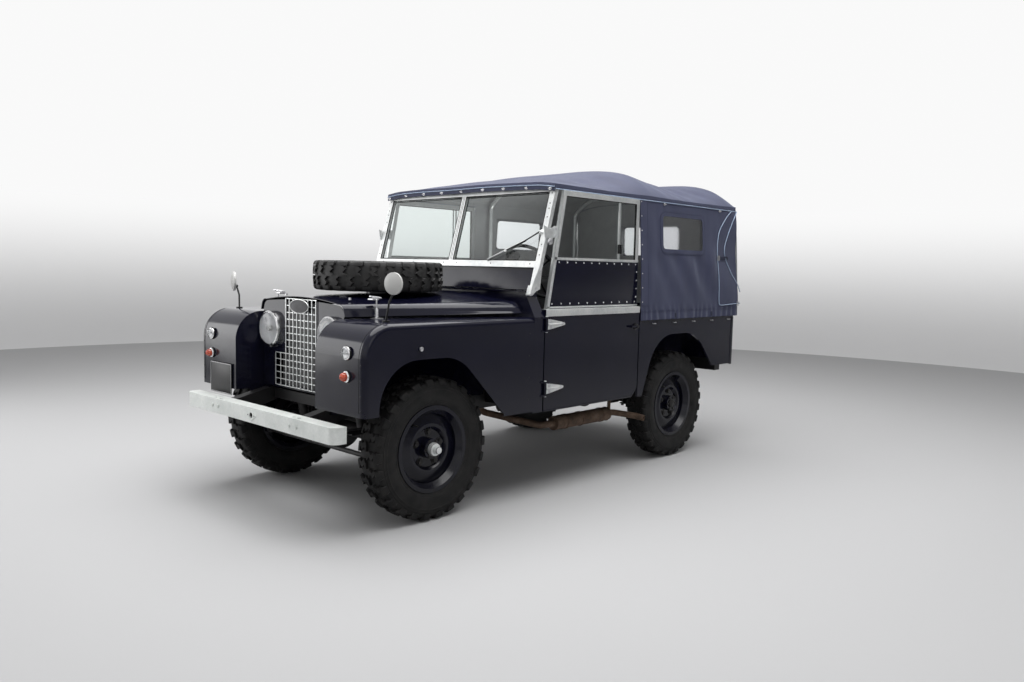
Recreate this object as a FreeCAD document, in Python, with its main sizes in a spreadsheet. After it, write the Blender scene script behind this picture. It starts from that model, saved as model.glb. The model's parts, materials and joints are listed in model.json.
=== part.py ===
import FreeCAD, Part
import math
import os
import Sketcher

# Light army 4x4 car with a canvas hood, in millimetres.
# X points forward, Y to the left side of the car and Z up from the ground.
# Stations along the car are measured from the front axle, forward positive.

V = FreeCAD.Vector
doc = FreeCAD.newDocument("army_car")
sheet = doc.addObject("Spreadsheet::Sheet", "Params")

# Overall plan of the car
SIZES = {
    "wheelbase": 2184,
    "front_overhang": 600,
    "rear_overhang": 791,
    "track": 1270,
    "body_half_width": 775,
    "skin": 3,
    "running_gap": 8,
    "seat_gap": 0.3,
}

# Tyres and wheels
SIZES.update({
    "tyre_radius": 363,
    "lug_depth": 12,
    "lug_count": 21,
    "lug_phase": 0.65,
    "tyre_half_width": 82,
    "tread_half_width": 70,
    "bead_radius": 206,
    "bead_half_width": 62.7,
    "rim_flange_radius": 221,
    "rim_well_radius": 183,
    "rim_half_width": 69,
    "rim_gauge": 5,
    "disc_ring_radius": 118,
    "disc_ring_reach": 40,
    "disc_seat_radius": 96,
    "disc_seat_reach": 22,
    "hub_radius": 52,
    "front_hub_reach": 62,
    "rear_hub_reach": 56,
    "lock_hub_radius": 32,
    "lock_hub_reach": 86,
    "lock_dial_radius": 18,
    "lock_dial_reach": 112,
    "drum_radius": 142,
    "drum_gauge": 9,
    "drum_depth": 52,
    "stub_radius": 22,
})

# Steering and axles
SIZES.update({
    "kingpin_inset": 90,
    "kingpin_radius": 10,
    "ball_radius": 70,
    "swivel_gap": 6,
    "swivel_wall": 10,
    "backplate_gauge": 4,
    "steer_arm_length": 172,
    "steer_arm_width": 30,
    "steer_arm_gauge": 16,
    "steer_arm_drop": 26,
    "track_rod_radius": 13,
    "axle_tube_radius": 40,
    "diff_radius": 122,
    "diff_offset": 130,
    "diff_half_width": 70,
    "pinion_length": 230,
    "pinion_radius": 52,
})

# Chassis frame and springs
SIZES.update({
    "rail_centre": 350,
    "rail_width": 60,
    "rail_mid_top": 560,
    "rail_mid_bottom": 456,
    "rail_front_top": 612,
    "rail_front_bottom": 524,
    "horn_low_x": 510,
    "horn_high_x": 190,
    "rail_rear_top": 642,
    "rail_rear_bottom": 552,
    "rear_cross_x": -606,
    "rear_cross_depth": 70,
    "rear_cross_inset": 85,
    "pto_hole_radius": 31,
    "spring_width": 56,
    "leaf_gauge": 8,
    "front_spring_reach": 430,
    "rear_spring_reach": 560,
    "spring_camber": 10,
    "spring_eye_radius": 20,
    "hanger_gauge": 4,
    "jaw_width": 92,
    "tow_pin_radius": 16,
})

# Exhaust
SIZES.update({
    "silencer_rear_x": 594,
    "silencer_length": 530,
    "silencer_radius": 43,
    "silencer_offset": 580,
    "silencer_height": 345,
    "pipe_radius": 20,
    "tank_gap": 50,
    "tank_length": 300,
    "tank_bottom": 430,
    "tank_height": 160,
    "tank_corner": 30,
})

# Bumper
SIZES.update({
    "bumper_half_width": 712,
    "bumper_bottom": 466,
    "bumper_height": 78,
    "bumper_depth": 74,
    "bumper_gauge": 5,
    "bumper_corner": 40,
    "handle_hole_radius": 20,
})

# Wings, bonnet and radiator panel
SIZES.update({
    "wing_front_x": 478,
    "wing_inner": 384,
    "wing_top": 1006,
    "wing_front_bottom": 580,
    "wing_rear_bottom": 488,
    "wing_nose_radius": 155,
    "wing_edge_radius": 30,
    "front_arch_front_x": 392,
    "front_arch_top": 829,
    "front_arch_shoulder_x": -102,
    "front_arch_end_x": -430,
    "grille_panel_x": 310,
    "grille_panel_bottom": 600,
    "grille_panel_half": 380,
    "grille_panel_inset": 11,
    "grille_top": 1085,
    "grille_step": 789,
    "grille_bottom": 612,
    "grille_upper_half": 143,
    "grille_lower_half": 246,
    "grille_pitch": 35.7,
    "grille_wire": 4,
    "headlamp_offset": 283,
    "headlamp_height": 917,
    "headlamp_radius": 98,
    "headlamp_reach": 40,
    "headlamp_depth": 62,
    "sidelamp_inset": 129,
    "sidelamp_height": 870,
    "sidelamp_radius": 34,
    "indicator_height": 761,
    "indicator_radius": 27,
    "bonnet_front_x": 318,
    "bonnet_rear_x": -638,
    "bonnet_front_half": 398,
    "bonnet_inset": 85,
    "bonnet_bottom": 1015,
    "bonnet_rise": 13,
    "bonnet_front_shoulder": 1076,
    "bonnet_rear_shoulder": 1088,
    "bonnet_front_crown": 1101,
    "bonnet_rear_crown": 1128,
    "bonnet_front_corner": 52,
    "bonnet_rear_corner": 95,
    "bonnet_hinge_offset": 250,
    "bonnet_hinge_height": 1120,
    "bonnet_hinge_gap": 6,
    "spare_x": -190,
    "spare_bottom": 1130,
})

# Bulkhead, windscreen, floor and tub
SIZES.update({
    "firewall_x": -655,
    "post_rear_x": -735,
    "post_gauge": 75,
    "scuttle_top": 1148,
    "scuttle_inset": 69,
    "hinge_pin_radius": 4,
    "hinge_barrel_radius": 8,
    "hinge_play": 0.3,
    "screen_foot_x": -704,
    "screen_height": 606,
    "screen_panel_height": 128,
    "screen_lean": 15.5,
    "screen_inset": 39,
    "screen_frame_width": 40,
    "screen_frame_depth": 26,
    "pane_gauge": 5,
    "floor_top": 570,
    "floor_gauge": 6,
    "tunnel_half_width": 170,
    "tunnel_height": 140,
    "seat_box_front_x": 994,
    "seat_box_rear_x": 548,
    "seat_box_top": 800,
    "seat_inner": 245,
    "seat_box_inset": 45,
    "column_radius": 19,
    "column_lean": 40,
    "steering_wheel_x": 1054,
    "steering_wheel_offset": 340,
    "steering_wheel_height": 1250,
    "steering_wheel_radius": 205,
    "steering_box_height": 680,
    "tub_front_x": 534,
    "tub_rear_x": -658,
    "tub_wall": 16,
    "tub_floor": 660,
    "tub_floor_gauge": 4,
    "tub_waist": 1030,
    "tub_side_bottom": 607,
    "tub_front_bottom": 472,
    "wheel_box_inner": 515,
    "wheel_box_top": 884,
    "rear_arch_front_x": 489,
    "rear_arch_front_shoulder_x": 336,
    "rear_arch_rear_shoulder_x": -145,
    "rear_arch_rear_x": -386,
    "rear_arch_top": 857,
    "tailgate_half_width": 590,
    "tailgate_gauge": 24,
    "tailgate_hinge_offset": 420,
    "tailgate_hinge_out": 15,
})

# Doors
SIZES.update({
    "door_front_x": -744,
    "door_rear_x": 544,
    "door_bottom": 476,
    "door_waist": 1014,
    "door_capping": 33,
    "door_gauge": 30,
    "door_hinge_out": 10,
    "door_strap_low": 607,
    "door_strap_high": 966,
    "door_strap_length": 165,
    "side_screen_inset": 32,
    "side_screen_gauge": 18,
    "side_screen_top": 1714,
    "side_screen_panel_top": 1326,
    "side_screen_setback": 22,
    "side_screen_bar": 30,
})

# Hood
SIZES.update({
    "hood_window_front_x": 282,
    "hood_window_rear_x": -214,
    "hood_window_bottom": 1413,
    "hood_window_top": 1634,
    "hood_window_lap": 12,
    "back_window_half": 260,
    "back_window_bottom": 1390,
    "back_window_top": 1620,
    "hood_gauge": 5,
    "hood_front_x": -836,
    "hood_side_front_x": 532,
    "hood_rear_x": -682,
    "cant_height": 1745,
    "cant_inset": 33,
    "hood_peak": 1928,
    "hood_hem": 958,
    "hood_flare": 43,
    "hoop_radius": 14,
    "front_hoop_x": 404,
    "rear_hoop_x": -594,
    "hoop_squareness": 5,
    "hood_rear_crown": 1808,
})


class Size:
    """A length with its value and the sheet expression that gives it."""

    def __init__(self, value, text):
        self.value = float(value)
        self.text = text

    def __float__(self):
        return self.value

    def __add__(self, other):
        return Size(float(self) + float(other), f"({self.text} + {words(other)})")

    def __radd__(self, other):
        return Size(float(other) + float(self), f"({words(other)} + {self.text})")

    def __sub__(self, other):
        return Size(float(self) - float(other), f"({self.text} - {words(other)})")

    def __rsub__(self, other):
        return Size(float(other) - float(self), f"({words(other)} - {self.text})")

    def __mul__(self, other):
        return Size(float(self) * float(other), f"({self.text} * {words(other)})")

    def __rmul__(self, other):
        return self * other

    def __truediv__(self, other):
        return Size(float(self) / float(other), f"({self.text} / {words(other)})")

    def __neg__(self):
        return Size(-float(self), f"(0 - {self.text})")


def words(amount):
    """The expression of a size or of a plain number."""
    if isinstance(amount, Size):
        return amount.text
    return f"({float(amount):g})"


class Sheet:
    """The named sizes of the spreadsheet."""

    def __getattr__(self, name):
        return Size(SIZES[name], "Params." + name)


for row, (name, amount) in enumerate(SIZES.items(), start=1):
    sheet.set(f"A{row}", name)
    sheet.set(f"B{row}", str(amount))
    sheet.setAlias(f"B{row}", name)
doc.recompute()
p = Sheet()

front_axle = (p.wheelbase + p.rear_overhang - p.front_overhang) / 2
rear_axle = front_axle - p.wheelbase
hub_height = p.tyre_radius
half_track = p.track / 2
post_inner = p.body_half_width - p.post_gauge
scuttle_half = p.body_half_width - p.scuttle_inset
screen_half_width = p.body_half_width - p.screen_inset
cant_half_width = p.body_half_width - p.cant_inset
seat_box_half_width = p.body_half_width - p.seat_box_inset
side_screen_offset = p.body_half_width - p.side_screen_inset
bonnet_rear_half = p.body_half_width - p.bonnet_inset
rear_cross_half_width = p.body_half_width - p.rear_cross_inset
sidelamp_offset = p.body_half_width - p.sidelamp_inset
nodes = {}


def station(size):
    """X of a station that is measured from the front axle."""
    return front_axle + size


def aft(size):
    """X of a station that is measured from the rear axle."""
    return rear_axle + size


def bind(item, prop, amount):
    item.setExpression(prop, words(amount))


def move(item, x=0, y=0, z=0):
    for axis, amount in zip("xyz", (x, y, z)):
        bind(item, "Placement.Base." + axis, amount)
    return item


def turn(item, axis, angle):
    item.Placement.Rotation = FreeCAD.Rotation(V(*axis), float(angle))
    return item


# Part primitives and booleans

def box(name, x, y, z):
    """A box from three (low, high) pairs."""
    item = doc.addObject("Part::Box", name)
    for prop, (low, high) in zip(("Length", "Width", "Height"), (x, y, z)):
        bind(item, prop, high - low)
    return move(item, x[0], y[0], z[0])


def rod(name, axis, start, length, radius):
    """A cylinder that runs from start along +axis."""
    item = doc.addObject("Part::Cylinder", name)
    bind(item, "Radius", radius)
    bind(item, "Height", length)
    if axis == "x":
        turn(item, (0, 1, 0), 90)
    if axis == "y":
        turn(item, (1, 0, 0), -90)
    return move(item, *start)


def ball(name, centre, radius):
    item = doc.addObject("Part::Sphere", name)
    bind(item, "Radius", radius)
    return move(item, *centre)


def join(name, items):
    item = doc.addObject("Part::MultiFuse", name)
    item.Shapes = items
    item.Refine = True
    return item


def cut(name, base, tools):
    item = doc.addObject("Part::Cut", name)
    item.Base = base
    item.Tool = tools[0] if len(tools) == 1 else join(name + "_tools", tools)
    item.Refine = True
    return item


def group(name, items):
    item = doc.addObject("Part::Compound", name)
    item.Links = items
    return item


def mirrored(name, source):
    """The same piece on the other side of the car."""
    item = doc.addObject("Part::Mirroring", name)
    item.Source = source
    item.Normal = V(0, 1, 0)
    return item


def pair(name, source):
    return group(name, [source, mirrored(name + "_right", source)])


def shaped(name, shape):
    item = doc.addObject("Part::Feature", name)
    item.Shape = shape
    return item


def node(name, item):
    """Label a finished piece, which is written to its own file."""
    item.Label = name
    nodes[name] = item
    return item


# PartDesign bodies and sketches

def body(name):
    return doc.addObject("PartDesign::Body", name)


def sketch(owner, role, offset=0):
    item = owner.newObject("Sketcher::SketchObject", owner.Name + "_sketch")
    plane = next(f for f in owner.Origin.OriginFeatures if f.Role == role)
    item.AttachmentSupport = [(plane, "")]
    item.MapMode = "FlatFace"
    bind(item, "AttachmentOffset.Base.z", offset)
    return item


def pin_point(item, geometry, point, place):
    """Hold one point of a sketch at two bound distances from the origin."""
    for kind, amount in zip(("DistanceX", "DistanceY"), place):
        index = item.addConstraint(
            Sketcher.Constraint(kind, -1, 1, geometry, point, float(amount)))
        bind(item, f"Constraints[{index}]", amount)


def polygon(item, points):
    first = item.GeometryCount
    count = len(points)
    for index, place in enumerate(points):
        after = points[(index + 1) % count]
        item.addGeometry(Part.LineSegment(
            V(float(place[0]), float(place[1]), 0), V(float(after[0]), float(after[1]), 0)))
    for index in range(count):
        following = first + (index + 1) % count
        item.addConstraint(Sketcher.Constraint("Coincident", first + index, 2, following, 1))
    for index, place in enumerate(points):
        pin_point(item, first + index, 1, place)
    return item


def circle(item, centre, radius):
    index = item.addGeometry(
        Part.Circle(V(float(centre[0]), float(centre[1]), 0), V(0, 0, 1), float(radius)))
    pin_point(item, index, 3, centre)
    rule = item.addConstraint(Sketcher.Constraint("Radius", index, float(radius)))
    bind(item, f"Constraints[{rule}]", radius)
    return item


def pad(owner, profile, length, reverse=False):
    item = owner.newObject("PartDesign::Pad", owner.Name + "_pad")
    item.Profile = profile
    bind(item, "Length", length)
    item.Reversed = reverse
    owner.Tip = item
    return item


def pocket(owner, profile, length, reverse=False):
    before = solid_volume(owner)
    item = owner.newObject("PartDesign::Pocket", owner.Name + "_pocket")
    item.Profile = profile
    bind(item, "Length", length)
    item.Reversed = reverse
    owner.Tip = item
    after = solid_volume(owner)
    if not after < before:
        raise ValueError(f"pocket cuts nothing in {owner.Name}")
    return item


def solid_volume(owner):
    doc.recompute()
    return owner.Shape.Volume


def revolve(owner, profile, axis="V_Axis"):
    item = owner.newObject("PartDesign::Revolution", owner.Name + "_revolution")
    item.Profile = profile
    item.ReferenceAxis = (profile, [axis])
    item.Angle = 360
    owner.Tip = item
    return item


def rounded_edges(owner, edges, radius):
    before = owner.Tip
    item = owner.newObject("PartDesign::Fillet", owner.Name + "_fillet")
    item.Base = (before, edges)
    bind(item, "Radius", radius)
    owner.Tip = item
    return item


def edges_along(shape, direction, keep):
    """Names of the straight edges along a direction whose middle passes a test."""
    found = []
    for index, edge in enumerate(shape.Edges, start=1):
        if len(edge.Vertexes) != 2:
            continue
        run = edge.Vertexes[1].Point - edge.Vertexes[0].Point
        if abs(abs(run.normalize() * V(*direction)) - 1) < 1e-6 and keep(edge.CenterOfMass):
            found.append(f"Edge{index}")
    return found


# Sketch outlines pushed out into plates

PLANES = {
    "plan": FreeCAD.Rotation(),
    "side": FreeCAD.Rotation(V(1, 0, 0), 90),
    "front": FreeCAD.Rotation(V(1, 1, 1), 120),
}


def plate(name, plane, points, low, high):
    """An outline pushed out from low to high across its plane.

    plan takes (x, y) and runs along Z, side takes (x, z) and runs along Y,
    front takes (y, z) and runs along X.
    """
    outline = doc.addObject("Sketcher::SketchObject", name + "_outline")
    polygon(outline, points)
    outline.Placement.Rotation = PLANES[plane]
    base = {"plan": (0, 0, low), "side": (0, high, 0), "front": (low, 0, 0)}[plane]
    move(outline, *base)
    item = doc.addObject("Part::Extrusion", name)
    item.Base = outline
    item.DirMode = "Normal"
    item.Solid = True
    bind(item, "LengthFwd", high - low)
    return item


# Free shapes from rounded outlines

def outline_wire(points, plane="side", level=0.0):
    """A closed wire with a round at each point that has a third value."""
    def place(a, b):
        if plane == "side":
            return V(a, level, b)
        if plane == "front":
            return V(level, a, b)
        return V(a, b, level)

    count = len(points)
    edges = []
    ends = []
    for index in range(count):
        before = place(*[float(c) for c in points[index - 1][:2]])
        here = place(*[float(c) for c in points[index][:2]])
        after = place(*[float(c) for c in points[(index + 1) % count][:2]])
        if len(points[index]) < 3:
            ends.append((here, here, None))
            continue
        radius = float(points[index][2])
        back = (before - here).normalize()
        ahead = (after - here).normalize()
        half = back.getAngle(ahead) / 2
        reach = radius / math.tan(half)
        middle = (back + ahead).normalize() * (radius / math.sin(half) - radius)
        ends.append((here + back * reach, here + ahead * reach, here + middle))
    for index, (start, finish, middle) in enumerate(ends):
        if middle is not None:
            edges.append(Part.Arc(start, middle, finish).toShape())
        following = ends[(index + 1) % count][0]
        if finish.distanceToPoint(following) > 1e-6:
            edges.append(Part.LineSegment(finish, following).toShape())
    return Part.Wire(edges)


def slab(points, plane, low, high):
    """A solid from a rounded outline pushed out from low to high."""
    face = Part.Face(outline_wire(points, plane, float(low)))
    reach = float(high) - float(low)
    run = {"side": V(0, reach, 0), "front": V(reach, 0, 0), "plan": V(0, 0, reach)}[plane]
    return face.extrude(run)


# Wheels

def gear_outline(level, phase):
    """One half of the tread: a ring of shoulder lugs at a level along Y."""
    count = int(SIZES["lug_count"])
    base = float(p.tyre_radius - p.lug_depth)
    tip = float(p.tyre_radius)
    corners = []
    for index in range(count):
        for share, radius in ((0.04, base), (0.10, tip), (0.54, tip), (0.60, base)):
            angle = 2 * math.pi * (index + share + float(phase)) / count
            corners.append(V(radius * math.cos(angle), level, radius * math.sin(angle)))
    return Part.Face(Part.makePolygon(corners + [corners[0]]))


def faceted_ring(profile, count):
    """A closed profile of (along Y, radius) points turned in flat facets; the flats keep the radius."""
    share = 1 / math.cos(math.pi / count)
    rings = []
    for index in range(count):
        angle = 2 * math.pi * (index + 0.5) / count
        rings.append([V(r * share * math.cos(angle), y, r * share * math.sin(angle)) for y, r in profile])
    faces = []
    for index in range(count):
        ring = rings[index]
        after = rings[(index + 1) % count]
        for near in range(len(profile)):
            far = (near + 1) % len(profile)
            corners = [ring[near], ring[far], after[far], after[near]]
            faces.append(Part.Face(Part.makePolygon(corners + [corners[0]])))
    solid = Part.Solid(Part.Shell(faces))
    if solid.Volume < 0:
        solid.reverse()
    return solid


def tyre_shape():
    """A cross-ply tyre about the Y axis with two staggered rings of lugs."""
    tread = float(p.tread_half_width)
    base = float(p.tyre_radius - p.lug_depth)
    flange = float(p.rim_flange_radius + p.seat_gap)
    side = [
        (tread - 4, base - 10), (float(p.tyre_half_width), base - 66), (float(p.rim_half_width), flange),
        (float(p.bead_half_width), flange), (float(p.bead_half_width), float(p.bead_radius)),
    ]
    count = int(SIZES["lug_count"])
    carcass = faceted_ring(side + [(-y, r) for y, r in reversed(side)], count)
    bore = Part.makeCylinder(base - 40, 2 * tread + 20, V(0, -tread - 10, 0), V(0, 1, 0))
    rings = []
    for low, phase in ((0.0, p.lug_phase), (-tread, p.lug_phase + 0.5)):
        rings.append(gear_outline(low, phase).extrude(V(0, tread, 0)).cut(bore))
    return carcass.fuse(rings).removeSplitter()


def rim_body(name, lock_hub):
    """A pressed steel wheel about its Y axis, outboard side towards +Y."""
    item = body(name)
    outer = p.rim_half_width
    gauge = p.rim_gauge
    flange = p.rim_flange_radius
    well = p.rim_well_radius
    seat = p.bead_radius - p.seat_gap - 1
    ring = p.disc_ring_reach
    profile = sketch(item, "XY_Plane")
    polygon(profile, [
        (flange, outer - gauge - 1), (flange, outer), (seat - gauge, outer),
        (well - gauge, outer - 32), (well - gauge, p.disc_seat_reach + 2),
        (p.disc_ring_radius + 8, ring), (p.disc_ring_radius - 8, ring),
        (p.disc_seat_radius, p.disc_seat_reach), (p.hub_radius, p.disc_seat_reach),
        (p.hub_radius, p.disc_seat_reach - gauge), (p.disc_seat_radius + 4, p.disc_seat_reach - gauge),
        (p.disc_ring_radius - 4, ring - gauge), (p.disc_ring_radius + 4, ring - gauge),
        (well - gauge, p.disc_seat_reach - 8), (well - gauge, 10 - outer), (seat - gauge, -outer),
        (flange, -outer), (flange, gauge + 1 - outer), (seat, gauge + 1 - outer),
        (well, 24 - outer), (well, outer - 30), (seat, outer - gauge - 1),
    ])
    revolve(item, profile)
    reach = p.front_hub_reach if lock_hub else p.rear_hub_reach
    drum_front = p.disc_seat_reach - gauge - p.seat_gap
    drum_web = drum_front - p.drum_gauge
    hub = body(name + "_hub")
    profile = sketch(hub, "XY_Plane")
    points = [
        (p.stub_radius + 0.5, drum_web), (p.drum_radius - p.drum_gauge, drum_web),
        (p.drum_radius - p.drum_gauge, drum_web - p.drum_depth), (p.drum_radius, drum_web - p.drum_depth),
        (p.drum_radius, drum_front), (p.hub_radius - 1, drum_front), (p.hub_radius - 1, reach),
    ]
    if lock_hub:
        points += [
            (p.lock_hub_radius, reach), (p.lock_hub_radius, p.lock_hub_reach),
            (p.lock_dial_radius, p.lock_hub_reach), (p.lock_dial_radius, p.lock_dial_reach),
            (0, p.lock_dial_reach),
        ]
    else:
        points += [(0, reach)]
    points += [(0, drum_front + 20), (p.stub_radius + 0.5, drum_front + 20)]
    polygon(profile, points)
    revolve(hub, profile)
    return item, hub


def placed_wheel(suffix, x, side, tyre):
    """The rim, hub and tyre of one wheel, outboard side outwards."""
    rim, hub = rim_body("rim_" + suffix, suffix.startswith("f"))
    whole = group("rim_group_" + suffix, [rim, hub])
    turn(whole, (0, 0, 1), 0 if side > 0 else 180)
    move(whole, x, half_track * side, hub_height)
    node("rim_" + suffix, whole)
    rubber = shaped("tyre_shape_" + suffix, tyre)
    turn(rubber, (0, 0, 1), 0 if side > 0 else 180)
    move(rubber, x, half_track * side, hub_height)
    node("tyre_" + suffix, rubber)


def make_wheels():
    tyre = tyre_shape()
    placed_wheel("front_left", front_axle, 1, tyre)
    placed_wheel("front_right", front_axle, -1, tyre)
    placed_wheel("rear_left", rear_axle, 1, tyre)
    placed_wheel("rear_right", rear_axle, -1, tyre)
    rim, hub = rim_body("rim_spare", False)
    doc.removeObject(hub.Name)
    height = p.spare_bottom + p.tyre_half_width
    turn(rim, (1, 0, 0), 90)
    move(rim, station(p.spare_x), 0, height)
    node("spare_rim", rim)
    rubber = shaped("spare_tyre_shape", tyre)
    turn(rubber, (1, 0, 0), 90)
    move(rubber, station(p.spare_x), 0, height)
    node("spare_tyre", rubber)


# Axles, swivels and steering rods

def make_axles():
    kingpin = half_track - p.kingpin_inset
    tube = rod("front_tube", "y", (front_axle, -kingpin, hub_height), kingpin * 2, p.axle_tube_radius)
    balls = [ball("front_ball", (front_axle, kingpin * side, hub_height), p.ball_radius) for side in (1, -1)]
    reach = p.ball_radius + p.swivel_gap
    pins = [rod("kingpin", "z", (front_axle, kingpin * side, hub_height - reach), reach * 2, p.kingpin_radius)
            for side in (1, -1)]
    centre = -p.diff_offset
    diff = rod("front_diff", "y", (front_axle, centre - p.diff_half_width, hub_height),
               p.diff_half_width * 2, p.diff_radius)
    nose = rod("front_pinion", "x", (front_axle - p.pinion_length, centre, hub_height),
               p.pinion_length, p.pinion_radius)
    node("front_axle", join("front_axle_body", [tube, diff, nose] + balls + pins))
    drum_web = p.disc_seat_reach - p.rim_gauge - p.seat_gap - p.drum_gauge
    flange = half_track + drum_web - p.drum_depth - 4
    tube = rod("rear_tube", "y", (rear_axle, -flange, hub_height), flange * 2, p.axle_tube_radius)
    diff = rod("rear_diff", "y", (rear_axle, centre - p.diff_half_width, hub_height),
               p.diff_half_width * 2, p.diff_radius)
    nose = rod("rear_pinion", "x", (rear_axle, centre, hub_height), p.pinion_length, p.pinion_radius)
    stubs = rod("rear_stubs", "y", (rear_axle, -half_track - 30, hub_height), half_track * 2 + 60,
            p.stub_radius)
    plates = []
    for side in (1, -1):
        start = flange if side > 0 else -flange - p.backplate_gauge
        plates.append(rod("rear_backplate", "y", (rear_axle, start, hub_height), p.backplate_gauge,
                          p.drum_radius - p.drum_gauge - 6))
    node("rear_axle", join("rear_axle_body", [tube, diff, nose, stubs] + plates))


def make_knuckles():
    """The swivel housings round the axle's balls, with stub shaft and arm."""
    inner = p.ball_radius + p.swivel_gap
    outer = inner + p.swivel_wall
    kingpin = half_track - p.kingpin_inset
    drum_web = p.disc_seat_reach - p.rim_gauge - p.seat_gap - p.drum_gauge
    flange = p.kingpin_inset + drum_web - p.drum_depth - 2
    plate_radius = p.drum_radius - p.drum_gauge - 6
    tip = p.kingpin_inset + 30
    item = body("swivel")
    profile = sketch(item, "XY_Plane")
    polygon(profile, [
        (inner + 1, -8), (outer + 1, -8), (outer + 1, 26), (outer - 6, flange),
        (plate_radius, flange), (plate_radius, flange + p.backplate_gauge),
        (outer - 9, flange + p.backplate_gauge), (outer - 28, inner - 4), (36, inner + 12),
        (p.stub_radius, inner + 12), (p.stub_radius, tip), (0, tip), (0, inner + 4),
        (22, inner + 4), (50, inner - 12), (70, 40), (inner + 1, 22),
    ])
    revolve(item, profile)
    move(item, front_axle, kingpin, hub_height)
    half = p.steer_arm_width / 2
    arm_top = hub_height - p.steer_arm_drop
    arm = box("steer_arm", (front_axle + inner + 3, front_axle + p.steer_arm_length),
              (kingpin - half, kingpin + half), (arm_top - p.steer_arm_gauge, arm_top))
    eye = rod("steer_arm_eye", "z", (front_axle + p.steer_arm_length, kingpin, arm_top - p.steer_arm_gauge),
              p.steer_arm_gauge, half)
    caps = [rod("pin_cap_top", "z", (front_axle, kingpin, hub_height + inner + 3), 22, 24),
            rod("pin_cap_foot", "z", (front_axle, kingpin, hub_height - inner - 25), 22, 24)]
    left = join("knuckle_body", [item, arm, eye] + caps)
    node("knuckle_left", left)
    node("knuckle_right", mirrored("knuckle_body_right", left))


def make_track_rod():
    kingpin = half_track - p.kingpin_inset
    x = front_axle + p.steer_arm_length
    under_arm = hub_height - p.steer_arm_drop - p.steer_arm_gauge
    height = under_arm - p.track_rod_radius - 10
    bar = rod("track_bar", "y", (x, -kingpin, height), kingpin * 2, p.track_rod_radius)
    cups = [rod("track_cup", "z", (x, kingpin * side, under_arm - 41), 36, 16) for side in (1, -1)]
    pins = [rod("track_pin", "z", (x, kingpin * side, under_arm - 8), 8 - p.seat_gap, 8) for side in (1, -1)]
    node("track_rod", join("track_rod_body", [bar] + cups + pins))


# Chassis

def make_chassis():
    half = p.rail_width / 2
    tip = station(p.front_overhang - p.bumper_gauge - p.seat_gap)
    inside_top = p.bumper_bottom + p.bumper_height - p.bumper_gauge - p.seat_gap
    inside_bottom = p.bumper_bottom + p.bumper_gauge + p.seat_gap
    rear = aft(p.rear_cross_x)
    outline = [
        (tip, inside_bottom), (tip, inside_top), (station(p.horn_low_x), inside_top),
        (station(p.horn_high_x), p.rail_front_top), (front_axle - 150, p.rail_front_top),
        (front_axle - 420, p.rail_mid_top), (rear_axle + 520, p.rail_mid_top),
        (rear_axle + 260, p.rail_rear_top), (rear, p.rail_rear_top), (rear, p.rail_rear_bottom),
        (rear_axle + 240, p.rail_rear_bottom), (rear_axle + 480, p.rail_mid_bottom),
        (front_axle - 440, p.rail_mid_bottom), (front_axle - 180, p.rail_front_bottom),
        (front_axle + 240, p.rail_front_bottom), (front_axle + 420, inside_bottom),
    ]
    left = plate("rail", "side", outline, p.rail_centre - half, p.rail_centre + half)
    rails = [left, mirrored("rail_right", left)]
    inner = p.rail_centre - half + 1
    crosses = []
    for label, x, low, high in (
            ("front", front_axle + 250, p.rail_front_bottom + 2, p.rail_front_top - 30),
            ("engine", front_axle - 330, p.rail_mid_bottom + 6, p.rail_mid_top - 20 - p.seat_gap),
            ("gearbox", front_axle - 1010, p.rail_mid_bottom + 2, p.rail_mid_top - 35 - p.seat_gap),
            ("middle", front_axle - 1560, p.rail_mid_bottom + 2, p.rail_mid_top - 2)):
        crosses.append(box("cross_" + label, (x - 30, x + 30), (-inner, inner), (low, high)))
    wide = rear_cross_half_width
    rear_cross = box("rear_cross", (rear - p.rear_cross_depth / 2, rear + p.rear_cross_depth / 2),
                     (-wide, wide), (p.rail_rear_bottom - 2, p.tub_floor - p.tub_floor_gauge - p.seat_gap))
    pto = rod("pto_hole", "x", (rear - p.rear_cross_depth, 0, (p.rail_rear_bottom + p.rail_rear_top) / 2),
              p.rear_cross_depth * 2, p.pto_hole_radius)
    outriggers = []
    out = post_inner - p.seat_gap
    for x in (station(p.firewall_x) - 50, aft(p.seat_box_rear_x) + 20):
        left = box("outrigger", (x - 25, x + 25), (p.rail_centre, out), (p.rail_mid_bottom + 34,
                p.rail_mid_top - 1))
        outriggers += [left, mirrored("outrigger_right", left)]
    hangers = []
    eye = spring_eye_height()
    spring_half = p.spring_width / 2 + p.seat_gap
    for axle, reach in ((front_axle, p.front_spring_reach), (rear_axle, p.rear_spring_reach)):
        for way in (1, -1):
            x = axle + (reach + p.spring_eye_radius / 2) * way
            high = p.rail_rear_bottom + 20 if (axle is rear_axle and way < 0) else p.rail_mid_bottom + 34
            for low, top in ((-spring_half - p.hanger_gauge, -spring_half), (spring_half,
                    spring_half + p.hanger_gauge)):
                left = box("hanger", (x - 22, x + 22), (p.rail_centre + low, p.rail_centre + top),
                        (eye - 22, high))
                hangers += [left, mirrored("hanger_right", left)]
    solid = join("chassis_parts", rails + crosses + [rear_cross] + outriggers + hangers)
    node("chassis_frame", cut("chassis_body", solid, [pto]))


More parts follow.
